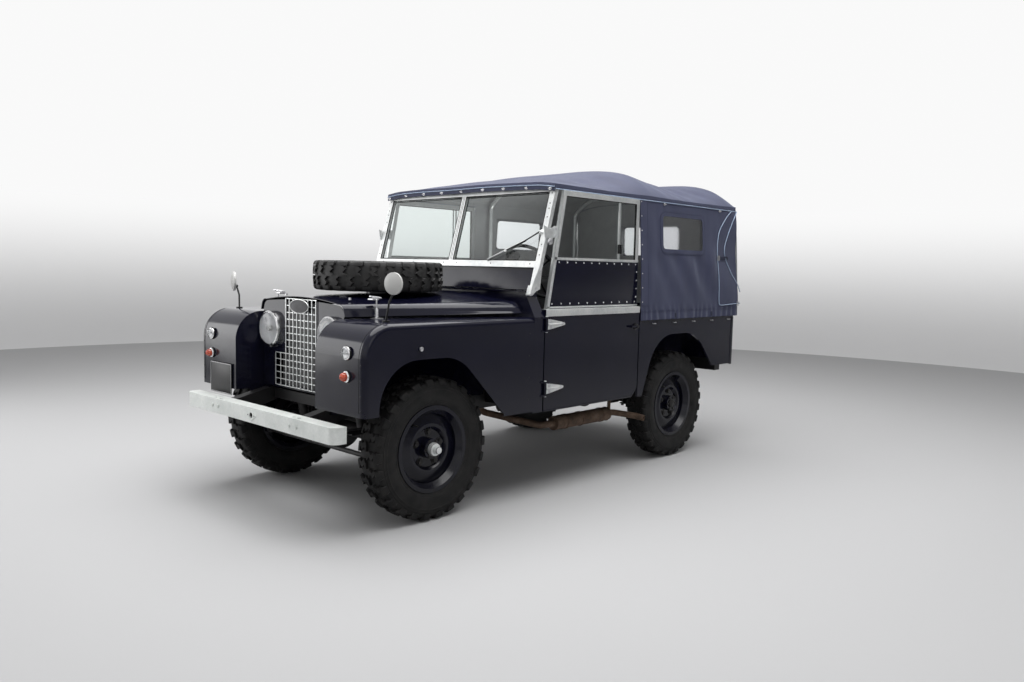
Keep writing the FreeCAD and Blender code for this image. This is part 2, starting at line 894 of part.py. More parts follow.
def leaf(span, low, rise, gauge, width):
    """One curved leaf: middle at low, ends higher by rise."""
    def arc(offset):
        return Part.Arc(V(-span, 0, low + rise + offset), V(0, 0, low + offset),
                        V(span, 0, low + rise + offset)).toShape()
    lower = arc(0)
    upper = arc(gauge)
    ends = [Part.makeLine(V(-span, 0, low + rise), V(-span, 0, low + rise + gauge)),
            Part.makeLine(V(span, 0, low + rise + gauge), V(span, 0, low + rise))]
    wire = Part.Wire(Part.__sortEdges__([lower, ends[1], upper, ends[0]]))
    return Part.Face(wire).extrude(V(0, width, 0))


def spring_eye_height():
    return float(hub_height + p.axle_tube_radius + p.leaf_gauge * 3 + p.spring_camber - p.spring_eye_radius / 2)


def spring_shape(reach):
    """A pack of leaves with rolled eyes at both ends of the longest one."""
    gauge = float(p.leaf_gauge)
    width = float(p.spring_width)
    rise = float(p.spring_camber)
    seat = float(hub_height + p.axle_tube_radius)
    leaves = []
    for index in range(4):
        span = reach * (1 - 0.2 * (3 - index))
        share = (span / reach) ** 2
        leaves.append(leaf(span, seat + gauge * index, rise * share, gauge, width))
    radius = float(p.spring_eye_radius)
    for side in (1, -1):
        centre = V(side * (reach + radius / 2), 0, spring_eye_height())
        eye = Part.makeCylinder(radius, width, centre, V(0, 1, 0))
        leaves.append(eye.cut(Part.makeCylinder(radius / 2, width, centre, V(0, 1, 0))))
    return leaves[0].fuse(leaves[1:]).removeSplitter()


def make_springs():
    springs = []
    for label, x, reach in (("front", front_axle, p.front_spring_reach), ("rear", rear_axle,
            p.rear_spring_reach)):
        left = shaped(label + "_spring", spring_shape(float(reach)))
        move(left, x, p.rail_centre - p.spring_width / 2, 0)
        springs += [left, mirrored(label + "_spring_right", left)]
    node("leaf_springs", group("leaf_springs_group", springs))


def make_driveline():
    top = p.bonnet_bottom - 60
    engine = box("engine", (front_axle - 560, front_axle + 150), (-190, 190), (p.rail_mid_top - 20, top))
    gearbox = box("gearbox", (front_axle - 1180, front_axle - 558), (-120, 120),
                  (p.rail_mid_top - 35, p.floor_top + 100))
    transfer = box("transfer_box", (front_axle - 1300, front_axle - 1100), (-190, 60),
                   (p.rail_mid_bottom - 60, p.floor_top - p.floor_gauge - 8))
    node("engine_and_gearbox", join("engine_parts", [engine, gearbox, transfer]))
    centre = -p.diff_offset
    front = rod("front_shaft", "x", (front_axle - 1100 + 0.3, centre, hub_height + 60), 800, 22)
    rear = rod("rear_shaft", "x", (rear_axle + p.pinion_length + 0.3, centre, hub_height + 60), 620, 22)
    node("propshafts", group("propshaft_pair", [front, rear]))


# Bumper, tow jaw, exhaust and tank

def make_bumper():
    half = p.bumper_half_width
    front = station(p.front_overhang)
    back = front - p.bumper_depth
    gauge = p.bumper_gauge
    item = body("bumper_bar")
    profile = sketch(item, "XY_Plane", p.bumper_bottom)
    polygon(profile, [(back, -half), (front, -half), (front, half), (back, half)])
    pad(item, profile, p.bumper_height)
    doc.recompute()
    nose = float(front)
    corners = edges_along(item.Shape, (0, 0, 1), lambda point: abs(point.x - nose) < 1)
    rounded_edges(item, corners, p.bumper_corner)
    doc.recompute()
    hollow = sketch(item, "XY_Plane", p.bumper_bottom + gauge)
    polygon(hollow, [
        (back - 10, gauge - half), (front - p.bumper_corner, gauge - half), (front - gauge,
                p.bumper_corner - half),
        (front - gauge, half - p.bumper_corner), (front - p.bumper_corner, half - gauge), (back - 10,
                half - gauge)])
    pocket(item, hollow, p.bumper_height - gauge * 2, reverse=True)
    hole = sketch(item, "YZ_Plane", front + 1)
    circle(hole, (0, p.bumper_bottom + p.bumper_height / 2), p.handle_hole_radius)
    pocket(item, hole, gauge + 2)
    node("front_bumper", item)


def make_tow_jaw():
    rear = aft(p.rear_cross_x) - p.rear_cross_depth / 2 - p.seat_gap
    end = rear_axle - p.rear_overhang
    half = p.jaw_width / 2
    middle = (p.rail_rear_top + p.rail_rear_bottom) / 2 - 92
    pad_plate = box("jaw_plate", (rear - 12, rear), (-half - 20, half + 20), (middle - 40,
            p.rail_rear_bottom + 8))
    top = box("jaw_top", (end, rear - 10), (-half, half), (middle + 20, middle + 34))
    low = box("jaw_low", (end, rear - 10), (-half, half), (middle - 34, middle - 20))
    web = box("jaw_web", (rear - 40, rear - 10), (-half, half), (middle - 34, middle + 34))
    bore = rod("jaw_bore", "z", (end + half, 0, middle - 60), 120, p.tow_pin_radius)
    node("tow_jaw", cut("tow_jaw_body", join("jaw_parts", [pad_plate, top, low, web]), [bore]))


def bent_tube(points, radius, thin=0):
    """A tube along straight runs joined by arcs: points are (place, bend radius)."""
    edges = []
    last = points[0][0]
    for (before, _), (here, bend), (after, _) in zip(points, points[1:], points[2:]):
        back = (before - here).normalize()
        ahead = (after - here).normalize()
        half = back.getAngle(ahead) / 2
        reach = bend / math.tan(half)
        middle = here + (back + ahead).normalize() * (bend / math.sin(half) - bend)
        start = here + back * reach
        finish = here + ahead * reach
        edges.append(Part.LineSegment(last, start).toShape())
        edges.append(Part.Arc(start, middle, finish).toShape())
        last = finish
    edges.append(Part.LineSegment(last, points[-1][0]).toShape())
    way = (points[1][0] - points[0][0]).normalize()
    section = Part.Wire([Part.makeCircle(radius, points[0][0], way)])
    solid = Part.Wire(edges).makePipeShell([section], True, False)
    if thin:
        inner = Part.Wire([Part.makeCircle(radius - thin, points[0][0], way)])
        solid = solid.cut(Part.Wire(edges).makePipeShell([inner], True, False))
    return solid


def make_exhaust():
    axle = float(front_axle)
    height = float(p.silencer_height)
    y = float(p.silencer_offset)
    silencer = rod("silencer", "x", (aft(p.silencer_rear_x), y, height), p.silencer_length, p.silencer_radius)
    front = float(aft(p.silencer_rear_x + p.silencer_length))
    down = shaped("front_pipe", bent_tube([
        (V(front - 5, y, height), 0), (V(front + 110, y, height), 60), (V(front + 330, 300, height + 70), 60),
        (V(front + 400, 300, height + 160), 0)], float(p.pipe_radius)))
    rear = float(aft(p.silencer_rear_x))
    tail = shaped("tail_pipe", bent_tube([
        (V(rear + 5, y, height), 0), (V(rear - 70, y, height), 60), (V(rear - 165, y + 110, height - 20), 60),
        (V(rear - 180, y + 170, height - 28), 0)], float(p.pipe_radius), 2))
    x = aft(p.seat_box_rear_x) + 20
    hanger = box("silencer_hanger", (x - 15, x + 15), (y - 3, y + 3),
                 (height + p.pipe_radius - 2, p.rail_mid_bottom + 34 - p.seat_gap))
    node("exhaust", join("exhaust_parts", [silencer, down, tail, hanger]))


def make_tank():
    item = body("tank")
    profile = sketch(item, "XY_Plane", p.tank_bottom)
    rear = aft(p.seat_box_rear_x) + 45 + p.seat_gap
    inner = p.rail_centre + p.rail_width / 2 + p.tank_gap
    polygon(profile, [(rear, -post_inner), (rear + p.tank_length, -post_inner), (rear + p.tank_length,
            -inner), (rear, -inner)])
    pad(item, profile, p.tank_height)
    doc.recompute()
    rounded_edges(item, edges_along(item.Shape, (0, 0, 1), lambda point: True), p.tank_corner)
    node("fuel_tank", item)


# Front panels

def rail_top(x):
    """Height of the rail's sloping horn at a place along the car."""
    low_x = station(p.horn_low_x)
    high_x = station(p.horn_high_x)
    low = p.bumper_bottom + p.bumper_height - p.bumper_gauge - p.seat_gap
    return float(low) + float(p.rail_front_top - low) * (float(low_x) - float(x)) / float(low_x - high_x)


def make_radiator_panel():
    inset = p.grille_panel_inset
    half = p.grille_panel_half
    front = station(p.grille_panel_x)
    top = p.bonnet_front_shoulder - inset
    crown = p.bonnet_front_crown - inset
    corner = p.bonnet_front_corner
    outer = slab([(-half, p.grille_panel_bottom), (-half, top, corner), (0, crown, 4000),
                  (half, top, corner), (half, p.grille_panel_bottom)], "front", front - 3, front)
    upper = float(p.grille_upper_half)
    lower = float(p.grille_lower_half)
    opening = slab([(-lower, p.grille_bottom + 8), (-lower, p.grille_step), (-upper, p.grille_step),
                    (-upper, p.grille_top), (upper, p.grille_top), (upper, p.grille_step),
                    (lower, p.grille_step), (lower, p.grille_bottom + 8)], "front", front - 5, front + 2)
    holes = [Part.makeCylinder(float(p.headlamp_radius) - 12, 10, V(float(front) - 6,
            side * float(p.headlamp_offset),
             float(p.headlamp_height)), V(1, 0, 0)) for side in (1, -1)]
    panel = shaped("radiator_panel_sheet", outer.cut([opening] + holes))
    back = front - 60
    gap = p.seat_gap
    leg = plate("radiator_leg", "side", [
        (front - 2, rail_top(front - 2) + gap), (front - 2, p.rail_front_top + 60), (back,
                p.rail_front_top + 40),
        (back, rail_top(back) + gap)], p.rail_centre - 18, p.rail_centre + 18)
    core = box("radiator_core", (front - 70, front - 3 - p.seat_gap), (-190, 190),
               (p.grille_bottom + 10, p.grille_top - 20))
    node("radiator_panel", join("radiator_panel_body", [panel, leg, mirrored("radiator_leg_right", leg)]))
    node("radiator_core", core)


def make_grille():
    """A welded wire mesh in an inverted T."""
    wire = p.grille_wire
    front = station(p.grille_panel_x) + p.seat_gap
    upper = p.grille_upper_half
    lower = p.grille_lower_half
    bars = []
    columns = round(float(upper) * 2 / float(p.grille_pitch))
    pitch = upper * 2 / columns
    for index in range(columns + 1):
        y = -upper + pitch * index
        bars.append(box("wire_up", (front + wire, front + wire * 2), (y - wire / 2, y + wire / 2),
                        (p.grille_bottom, p.grille_top)))
    side_columns = int((float(lower) - float(upper)) / float(pitch))
    for index in range(1, side_columns + 1):
        for side in (1, -1):
            y = (upper + (lower - upper) / side_columns * index) * side
            bars.append(box("wire_side", (front + wire, front + wire * 2), (y - wire / 2, y + wire / 2),
                            (p.grille_bottom, p.grille_step)))
    rows = round((float(p.grille_top) - float(p.grille_step)) / float(p.grille_pitch))
    rise = (p.grille_top - p.grille_step) / rows
    for index in range(rows + 1):
        z = p.grille_step + rise * index
        wide = lower if index == 0 else upper
        bars.append(box("wire_across", (front, front + wire + 0.5), (-wide - wire / 2, wide + wire / 2),
                        (z - wire / 2, z + wire / 2)))
    low_rows = round((float(p.grille_step) - float(p.grille_bottom)) / float(p.grille_pitch))
    drop = (p.grille_step - p.grille_bottom) / low_rows
    for index in range(1, low_rows + 1):
        z = p.grille_step - drop * index
        bars.append(box("wire_low", (front, front + wire + 0.5), (-lower - wire / 2, lower + wire / 2),
                        (z - wire / 2, z + wire / 2)))
    oval = Part.Ellipse(V(float(front + wire * 1.5), 0, float(p.grille_top - 42)), 60, 30)
    oval.Axis = V(1, 0, 0)
    oval.XAxis = V(0, 1, 0)
    badge = Part.Face(Part.Wire(oval.toShape())).extrude(V(float(wire) * 1.5, 0, 0))
    node("grille", join("grille_mesh", bars + [shaped("badge", badge)]))


def make_lamps():
    front = station(p.grille_panel_x) + p.seat_gap
    item = body("headlamp")
    profile = sketch(item, "XY_Plane")
    r = p.headlamp_radius
    reach = p.headlamp_reach
    polygon(profile, [(0, 0), (r - 4, 0), (r, 6), (r, reach - 14), (r - 8, reach), (r - 30, reach + 8), (0,
            reach + 14)])
    revolve(item, profile)
    turn(item, (0, 0, 1), -90)
    move(item, front, p.headlamp_offset, p.headlamp_height)
    back = rod("headlamp_bowl", "x", (front - p.headlamp_depth, p.headlamp_offset, p.headlamp_height),
               p.headlamp_depth + 2, r - 16)
    node("headlamps", pair("headlamp_pair", join("headlamp_left", [item, back])))
    for label, height, radius, reach in (("sidelamps", p.sidelamp_height, p.sidelamp_radius, 26),
                                         ("indicators", p.indicator_height, p.indicator_radius, 46)):
        face = station(p.wing_front_x) + p.seat_gap
        base = rod(label + "_base", "x", (face, sidelamp_offset, height), 14, radius)
        lens = rod(label + "_lens", "x", (face + 10, sidelamp_offset, height), reach - 10, radius - 6)
        node(label, pair(label + "_pair", join(label + "_left", [base, lens])))
    rear = aft(p.tub_rear_x) - p.seat_gap
    lamps = []
    for height in (740, 830):
        lamps.append(rod("rear_lamp", "x", (rear - 32, rear_cross_half_width, height), 32, 32))
    left = group("rear_lamps_left", lamps)
    node("rear_lamps", pair("rear_lamp_pair", left))


def make_wings():
    front = float(station(p.wing_front_x))
    rear = float(station(p.firewall_x) + p.seat_gap)
    inner = float(p.wing_inner)
    out = float(p.body_half_width)
    skin = float(p.skin)
    top = float(p.wing_top)
    nose = float(p.wing_nose_radius)
    edge = float(p.wing_edge_radius)
    foot = float(p.wing_rear_bottom)

    def hull(inset, low):
        points = [(front - inset, low), (front - inset, top - inset, nose - inset),
                  (rear - (1 if inset else 0), top - inset), (rear - (1 if inset else 0), low)]
        solid = slab(points, "side", inner + inset, out - inset)
        rim_edges = [e for e in solid.Edges if abs(e.CenterOfMass.y - (out - inset)) < 0.01
                     and e.BoundBox.ZMax > low + 1 and e.BoundBox.XMax > rear + 5]
        return solid.makeFillet(edge - inset, rim_edges)

    shell = hull(0, foot).cut(hull(skin, foot - 5))
    end = Part.makeBox(skin, out - inner, top - foot - 60, V(rear, inner, foot))
    a = [(station(p.front_arch_front_x), foot - 10), (station(p.front_arch_front_x), p.front_arch_top, 230),
         (station(p.front_arch_shoulder_x), p.front_arch_top, 250), (station(p.front_arch_end_x), foot + 12),
         (station(p.front_arch_end_x) + 8, foot - 10)]
    low_front = Part.makeBox(200, out, float(p.wing_front_bottom) - foot + 10,
                             V(float(station(p.front_arch_front_x)), inner - 1, foot - 10))
    inner_low = Part.makeBox(front - rear + 20, 20, 60, V(rear - 10, inner - 5, foot - 10))
    shell = shell.cut([slab(a, "side", out - 80, out + 5), low_front, inner_low])
    left = shaped("wing_sheet", shell.removeSplitter())
    node("wing_left", left)
    node("wing_right", mirrored("wing_sheet_right", left))


def bonnet_section(x, inset, drop):
    """Section across the bonnet at its front or rear end, with an arched top."""
    front = x > float(front_axle)
    half = float(p.bonnet_front_half if front else bonnet_rear_half) - inset
    crown = float(p.bonnet_front_crown if front else p.bonnet_rear_crown) - inset
    shoulder = float(p.bonnet_front_shoulder if front else p.bonnet_rear_shoulder) - inset
    corner = float(p.bonnet_front_corner if front else p.bonnet_rear_corner)
    low = float(p.bonnet_bottom + (0 if front else p.bonnet_rise)) - drop
    side_top = shoulder - corner * 0.55
    lean = 9
    edges = []
    for side in (-1, 1):
        foot = V(x, side * half, low)
        start = V(x, side * (half - lean), side_top)
        finish = V(x, side * (half - lean - corner * 0.9), shoulder)
        middle = V(x, side * (half - lean - corner * 0.28), side_top + (shoulder - side_top) * 0.76)
        edges.append([foot, start, middle, finish])
    left, right = edges
    run = [Part.makeLine(left[0], left[1]), Part.Arc(left[1], left[2], left[3]).toShape(),
           Part.Arc(left[3], V(x, 0, crown), right[3]).toShape(), Part.Arc(right[3], right[2],
                   right[1]).toShape(),
           Part.makeLine(right[1], right[0]), Part.makeLine(right[0], left[0])]
    return Part.Wire(run)


def bonnet_loft(inset, drop, reach):
    front = float(station(p.bonnet_front_x))
    rear = float(station(p.bonnet_rear_x))
    solid = Part.makeLoft([bonnet_section(front, inset, drop), bonnet_section(rear, inset, drop)], True, True)
    if reach:
        ends = [f for f in solid.Faces if abs(f.normalAt(0, 0).x) > 0.99]
        solid = solid.fuse([f.extrude(V(reach if f.CenterOfMass.x > 0.5 * (front + rear) else -reach, 0,
                0)) for f in ends])
    return solid


def make_bonnet():
    skin = shaped("bonnet_skin", bonnet_loft(0, 0, 0).cut(bonnet_loft(float(p.skin), 5, 5)))
    x = station(p.spare_x)
    disc = p.spare_bottom + p.tyre_half_width + p.disc_seat_reach - p.rim_gauge - p.seat_gap
    well = rod("spare_carrier", "z", (x, 0, p.bonnet_front_crown + 8), disc - p.bonnet_front_crown - 8, 70)
    straps = []
    for y in (p.bonnet_hinge_offset, -p.bonnet_hinge_offset):
        z = p.bonnet_hinge_height
        rear = station(p.bonnet_rear_x)
        hinge_x = rear - p.bonnet_hinge_gap
        strap = box("bonnet_strap", (hinge_x, rear + 60), (y - 15, y + 15), (z - 2, z + 7))
        bore = rod("bonnet_strap_bore", "y", (hinge_x, y - 20, z), 40, p.hinge_barrel_radius - 1)
        straps.append(cut("bonnet_strap_cut", strap, [bore]))
        straps.append(barrel("bonnet_barrel", "y", (hinge_x, y - 15, z), 30))
    node("bonnet", join("bonnet_body", [skin, well] + straps))


def barrel(name, axis, start, length):
    """A hinge barrel with its bore."""
    radius = p.hinge_barrel_radius
    tube = rod(name + "_tube", axis, start, length, radius)
    bore = rod(name + "_bore", axis, start, length, p.hinge_pin_radius + p.hinge_play)
    return cut(name, tube, [bore])


def hinge_pin(name, axis, start, length):
    return rod(name, axis, start, length, p.hinge_pin_radius)


# Cab

def make_bulkhead():
    x = station(p.firewall_x)
    out = p.body_half_width
    post_rear = station(p.post_rear_x)
    top = p.scuttle_top
    neck = scuttle_half
    wall = box("firewall", (x - 4, x), (-out + 5, out - 5), (p.floor_top + 1, p.wing_top))
    upper = plate("firewall_upper", "front", [
        (-out, p.wing_top - 1), (out, p.wing_top - 1), (neck + 8, top - 32), (neck, top), (-neck, top),
        (-neck - 8, top - 32)], x - 4, x)
    roof = box("scuttle_plate", (post_rear, x + 6), (-neck, neck), (top - 6, top))
    shelf = box("dash_shelf", (post_rear - 10, x - 2), (-post_inner - 5, post_inner + 5), (top - 190,
            top - 182))
    face = box("dash_face", (post_rear - 6, post_rear + 1), (-neck, neck), (top - 120, top))
    post = plate("post", "front", [
        (post_inner, p.wing_rear_bottom - 10), (out, p.wing_rear_bottom - 10), (out, p.wing_top),
        (neck + 8, top - 32), (neck, top), (post_inner, top)], post_rear, x)
    pins = []
    hinge_x = station(p.door_front_x)
    hinge_y = out + p.door_hinge_out
    for z in (p.door_strap_low, p.door_strap_high):
        pins.append(hinge_pin("door_pin", "z", (hinge_x, hinge_y, z - 42), 84))
        for low in (z - 42, z + 34):
            pins.append(plate("door_pin_ear", "plan", [
                (hinge_x - 6, out + 3), (post_rear, out + 3), (post_rear + 1, out - 1), (hinge_x + 32,
                        out - 1),
                (hinge_x + 32, out + 3), (hinge_x + 8, hinge_y + 6), (hinge_x - 6,
                        hinge_y + 6)], low, low + 8))
    pins += [mirrored("door_pin_right", item) for item in list(pins)]
    rear = station(p.bonnet_rear_x)
    for side in (1, -1):
        y = p.bonnet_hinge_offset * side
        z = p.bonnet_hinge_height
        hinge_x = rear - p.bonnet_hinge_gap
        pins.append(hinge_pin("bonnet_pin", "y", (hinge_x, y - 24, z), 48))
        for low in (y - 24, y + 16):
            pins.append(plate("bonnet_pin_ear", "side", [
                (x - 1, z - 14), (hinge_x + 5, z - 14), (hinge_x + 5, z), (hinge_x + 3.5,
                        z + 3.5), (hinge_x, z + 5),
                (x - 1, z + 5)], low, low + 8))
    tunnel = box("tunnel_gap", (x - 20, x + 20), (-p.tunnel_half_width, p.tunnel_half_width),
                 (p.floor_top - 40, p.floor_top + p.tunnel_height + p.seat_gap))
    column = column_shape("column_gap", p.column_radius + 4)
    node("bulkhead", cut("bulkhead_body", join("bulkhead_parts", [
        wall, upper, roof, shelf, face, post, mirrored("post_right", post)] + pins), [tunnel, column]))


def column_axis():
    lean = math.radians(float(p.column_lean))
    return V(-math.cos(lean), 0, math.sin(lean))


def wheel_centre():
    return V(float(aft(p.steering_wheel_x)), float(p.steering_wheel_offset), float(p.steering_wheel_height))


def column_shape(name, radius):
    """The steering column, from behind the wheel's boss to the steering box."""
    axis = column_axis()
    start = wheel_centre() - axis * (36 + float(p.seat_gap))
    length = (start.z - float(p.steering_box_height)) / axis.z
    return shaped(name, Part.makeCylinder(float(radius), length, start, -axis))


def screen_foot():
    """Height of the windscreen's foot, whose rear corner rests on the scuttle."""
    return p.scuttle_top + p.seat_gap + p.screen_frame_depth / 2 * math.sin(math.radians(float(p.screen_lean)))


def lean_place(item):
    """Stand a piece of the windscreen at its foot and lean it back."""
    turn(item, (0, 1, 0), -float(p.screen_lean))
    return move(item, station(p.screen_foot_x), 0, screen_foot())


def make_windscreen():
    half = screen_half_width
    bar = p.screen_frame_width
    depth = p.screen_frame_depth
    sill = p.screen_panel_height
    tall = p.screen_height
    item = body("screen_frame")
    profile = sketch(item, "YZ_Plane", -depth / 2)
    polygon(profile, [(-half, 0), (half, 0), (half, tall), (-half, tall)])
    pad(item, profile, depth)
    for side in (1, -1):
        opening = sketch(item, "YZ_Plane", depth / 2)
        polygon(opening, [(side * bar / 2, sill + bar), (side * (half - bar), sill + bar),
                          (side * (half - bar), tall - bar), (side * bar / 2, tall - bar)])
        pocket(item, opening, depth)
    hollow = sketch(item, "YZ_Plane", depth / 2)
    polygon(hollow, [(bar - half, -1), (half - bar, -1), (half - bar, sill), (bar - half, sill)])
    pocket(item, hollow, depth)
    node("windscreen_frame", lean_place(item))
    panel = box("screen_panel_box", (-3, 3), (bar - half + p.seat_gap, half - bar - p.seat_gap), (2,
            sill - p.seat_gap))
    node("windscreen_panel", lean_place(group("screen_panel", [panel])))
    panes = []
    for side in (1, -1):
        inner = bar / 2 + p.seat_gap
        outer = half - bar - p.seat_gap
        low, high = (inner, outer) if side > 0 else (-outer, -inner)
        pane = box("pane", (-p.pane_gauge / 2, p.pane_gauge / 2), (low, high),
                   (sill + bar + p.seat_gap, tall - bar - p.seat_gap))
        panes.append(pane)
    glass = group("panes", panes)
    node("windscreen_glass", lean_place(glass))


def make_floor():
    x = station(p.firewall_x) - 7
    half = post_inner - p.seat_gap
    front = aft(p.seat_box_front_x)
    rear = aft(p.seat_box_rear_x)
    tunnel = p.tunnel_half_width
    floor_plate = box("floor_plate", (front - 2, x), (-half, half), (p.floor_top - p.floor_gauge,
            p.floor_top))
    cover = box("tunnel", (front - 2, x), (-tunnel, tunnel), (p.floor_top - 1, p.floor_top + p.tunnel_height))
    hole = box("tunnel_hole", (front - 4, x + 2), (4 - tunnel, tunnel - 4), (p.floor_top - 10,
            p.floor_top + p.tunnel_height - 4))
    wide = seat_box_half_width
    seat_box = box("seat_box", (rear, front), (-wide, wide), (p.floor_top - p.floor_gauge, p.seat_box_top))
    inside = box("seat_box_inside", (rear - 2, front - 4), (-wide + 4, wide - 4), (p.floor_top - 20,
            p.seat_box_top - 4))
    node("cab_floor", cut("cab_floor_body", join("cab_floor_parts", [floor_plate, cover, seat_box]), [hole,
            inside]))


def make_seats():
    front = aft(p.seat_box_front_x) - 6
    rear = aft(p.seat_box_rear_x) + 70
    base = p.seat_box_top + p.seat_gap
    cushions = []
    backs = []
    middle = (post_inner + p.seat_inner - 5) / 2
    wide = (post_inner - p.seat_inner - 5) / 2
    for y, half in ((middle, wide), (0, 170), (middle * -1, wide)):
        cushions.append(box("cushion", (rear, front), (y - half, y + half), (base, base + 110)))
        backs.append(box("back", (rear - 60 - p.seat_gap, rear - p.seat_gap), (y - half, y + half), (base,
                base + 440)))
    node("seat_cushions", group("cushion_set", cushions))
    node("seat_backs", group("back_set", backs))


def make_steering_wheel():
    hub = wheel_centre()
    axis = column_axis()
    ring = Part.makeTorus(float(p.steering_wheel_radius), 11, hub, axis)
    boss = Part.makeCylinder(34, 40, hub - axis * 36, axis)
    spokes = []
    side = V(0, 1, 0)
    up = axis.cross(side)
    for angle in (90, 210, 330):
        turn_angle = math.radians(angle)
        way = side * math.cos(turn_angle) + up * math.sin(turn_angle)
        spokes.append(Part.makeCylinder(7, float(p.steering_wheel_radius) - 4, hub, way))
    node("steering_wheel", shaped("steering_wheel_shape", ring.fuse([boss] + spokes)))
    column = column_shape("column_tube", p.column_radius)
    centre = column.Shape.BoundBox
    x = centre.XMax - 40
    gear = box("steering_box", (x - 50, x + 50), (p.steering_wheel_offset - 38, p.steering_wheel_offset + 38),
               (p.steering_box_height - 60, p.steering_box_height + 40))
    foot = box("steering_foot", (x - 30, x + 30), (p.steering_wheel_offset - 16,
            p.steering_wheel_offset + 30),
               (p.rail_mid_top + p.seat_gap, p.steering_box_height - 59))
    node("steering_column", join("steering_column_body", [column, gear, foot]))


def make_controls():
    x = float(station(p.firewall_x)) - 160
    items = []
    for y in (230, 320, 410):
        items.append(box("pedal", (x, x + 14), (y - 28, y + 28), (680, 740)))
        items.append(box("pedal_arm", (x + 10, front_axle + p.firewall_x - 4.3), (y - 6, y + 6), (700, 712)))
    lever = rod("gear_lever", "z", (front_axle - 960, 0, p.floor_top + p.tunnel_height + 0.3), 260, 8)
    knob = ball("gear_knob", (front_axle - 960, 0, p.floor_top + p.tunnel_height + 270), 22)
    node("cab_controls", join("cab_controls_parts", items + [lever, knob]))


# Tub and tailgate

def make_tub():
    front = float(aft(p.tub_front_x))
    rear = float(aft(p.tub_rear_x))
    out = float(p.body_half_width)
    wall = float(p.tub_wall)
    waist = float(p.tub_waist)
    low = float(p.tub_side_bottom)
    arch_points = [(aft(p.rear_arch_front_x) - 2, p.tub_front_bottom - 5),
                   (aft(p.rear_arch_front_shoulder_x), p.rear_arch_top, 280),
                   (aft(p.rear_arch_rear_shoulder_x), p.rear_arch_top, 330),
                   (aft(p.rear_arch_rear_x), low), (aft(p.rear_arch_rear_x), p.tub_front_bottom - 5)]
    outline = [(front, p.tub_front_bottom), (front, waist), (rear, waist), (rear, low),
               (aft(p.rear_arch_rear_x), low), (aft(p.rear_arch_rear_x), p.tub_front_bottom)]
    side = slab(outline, "side", out - wall, out)
    side = side.cut(slab(arch_points, "side", out - wall - 5, out + 5))
    box_front = front - 92
    box_rear = float(aft(p.rear_arch_rear_x)) - 24
    inner = float(p.wheel_box_inner)
    top = float(p.wheel_box_top)
    floor = float(p.tub_floor)
    gauge = float(p.tub_floor_gauge)
    wheel_box = Part.makeBox(box_front - box_rear, out - wall - inner + 1, top - floor, V(box_rear, inner,
            floor))
    hollow = Part.makeBox(box_front - box_rear - 2 * gauge, out - wall - inner + 10, top - floor,
                          V(box_rear + gauge, inner + gauge, floor - gauge))
    wheel_box = wheel_box.cut(hollow)
    half_floor = Part.makeBox(front - rear, out - wall + 0.5, gauge, V(rear, 0, floor - gauge))
    half_floor = half_floor.cut(Part.makeBox(box_front - box_rear - 2 * gauge, out, 40, V(box_rear + gauge,
            inner + gauge, floor - 20)))
    bulk = Part.makeBox(wall, out - wall + 1, waist - floor, V(front - wall, 0, floor - 1))
    gate = float(p.tailgate_half_width)
    corner = Part.makeBox(wall, out - gate - 6, waist - floor, V(rear, gate + 6, floor - 1))
    hinge_y = float(p.tailgate_hinge_offset)
    hinge_x = rear - float(p.tailgate_hinge_out)
    pin = Part.makeCylinder(float(p.hinge_pin_radius), 82, V(hinge_x, hinge_y - 41, floor), V(0, 1, 0))
    ears = [Part.makeBox(rear - hinge_x + 24, 8, 8, V(hinge_x - 4, y,
            floor - gauge)) for y in (hinge_y - 41, hinge_y + 33)]
    leg = hoop_leg()
    sockets = []
    for x in (float(aft(p.front_hoop_x)), float(aft(p.rear_hoop_x))):
        sockets.append(Part.makeCylinder(float(p.hoop_radius) + 6, 60, V(x, leg, waist - 60), V(0, 0, 1)))
        sockets.append(Part.makeBox(12, out - wall - leg + 1, 50, V(x - 6, leg, waist - 56)))
    half = side.fuse([wheel_box, half_floor, bulk, corner, pin] + ears + sockets)
    whole = half.fuse(half.mirror(V(), V(0, 1, 0))).removeSplitter()
    node("rear_tub", shaped("rear_tub_shape", whole))


def make_tailgate():
    rear = aft(p.tub_rear_x)
    half = p.tailgate_half_width
    item = body("tailgate_body")
    profile = sketch(item, "YZ_Plane", rear - 6)
    polygon(profile, [(-half, p.tub_floor + 6), (half, p.tub_floor + 6), (half, p.tub_waist - 14), (-half,
            p.tub_waist - 14)])
    pad(item, profile, p.tailgate_gauge)
    barrels = []
    for side in (1, -1):
        y = p.tailgate_hinge_offset * side
        barrels.append(barrel("tailgate_barrel", "y", (rear - p.tailgate_hinge_out, y - 25, p.tub_floor), 50))
        barrels.append(box("tailgate_leaf", (rear - 9, rear - 5), (y - 25, y + 25), (p.tub_floor + 4,
                p.tub_floor + 90)))
    node("tailgate", join("tailgate_parts", [item] + barrels))


# Doors

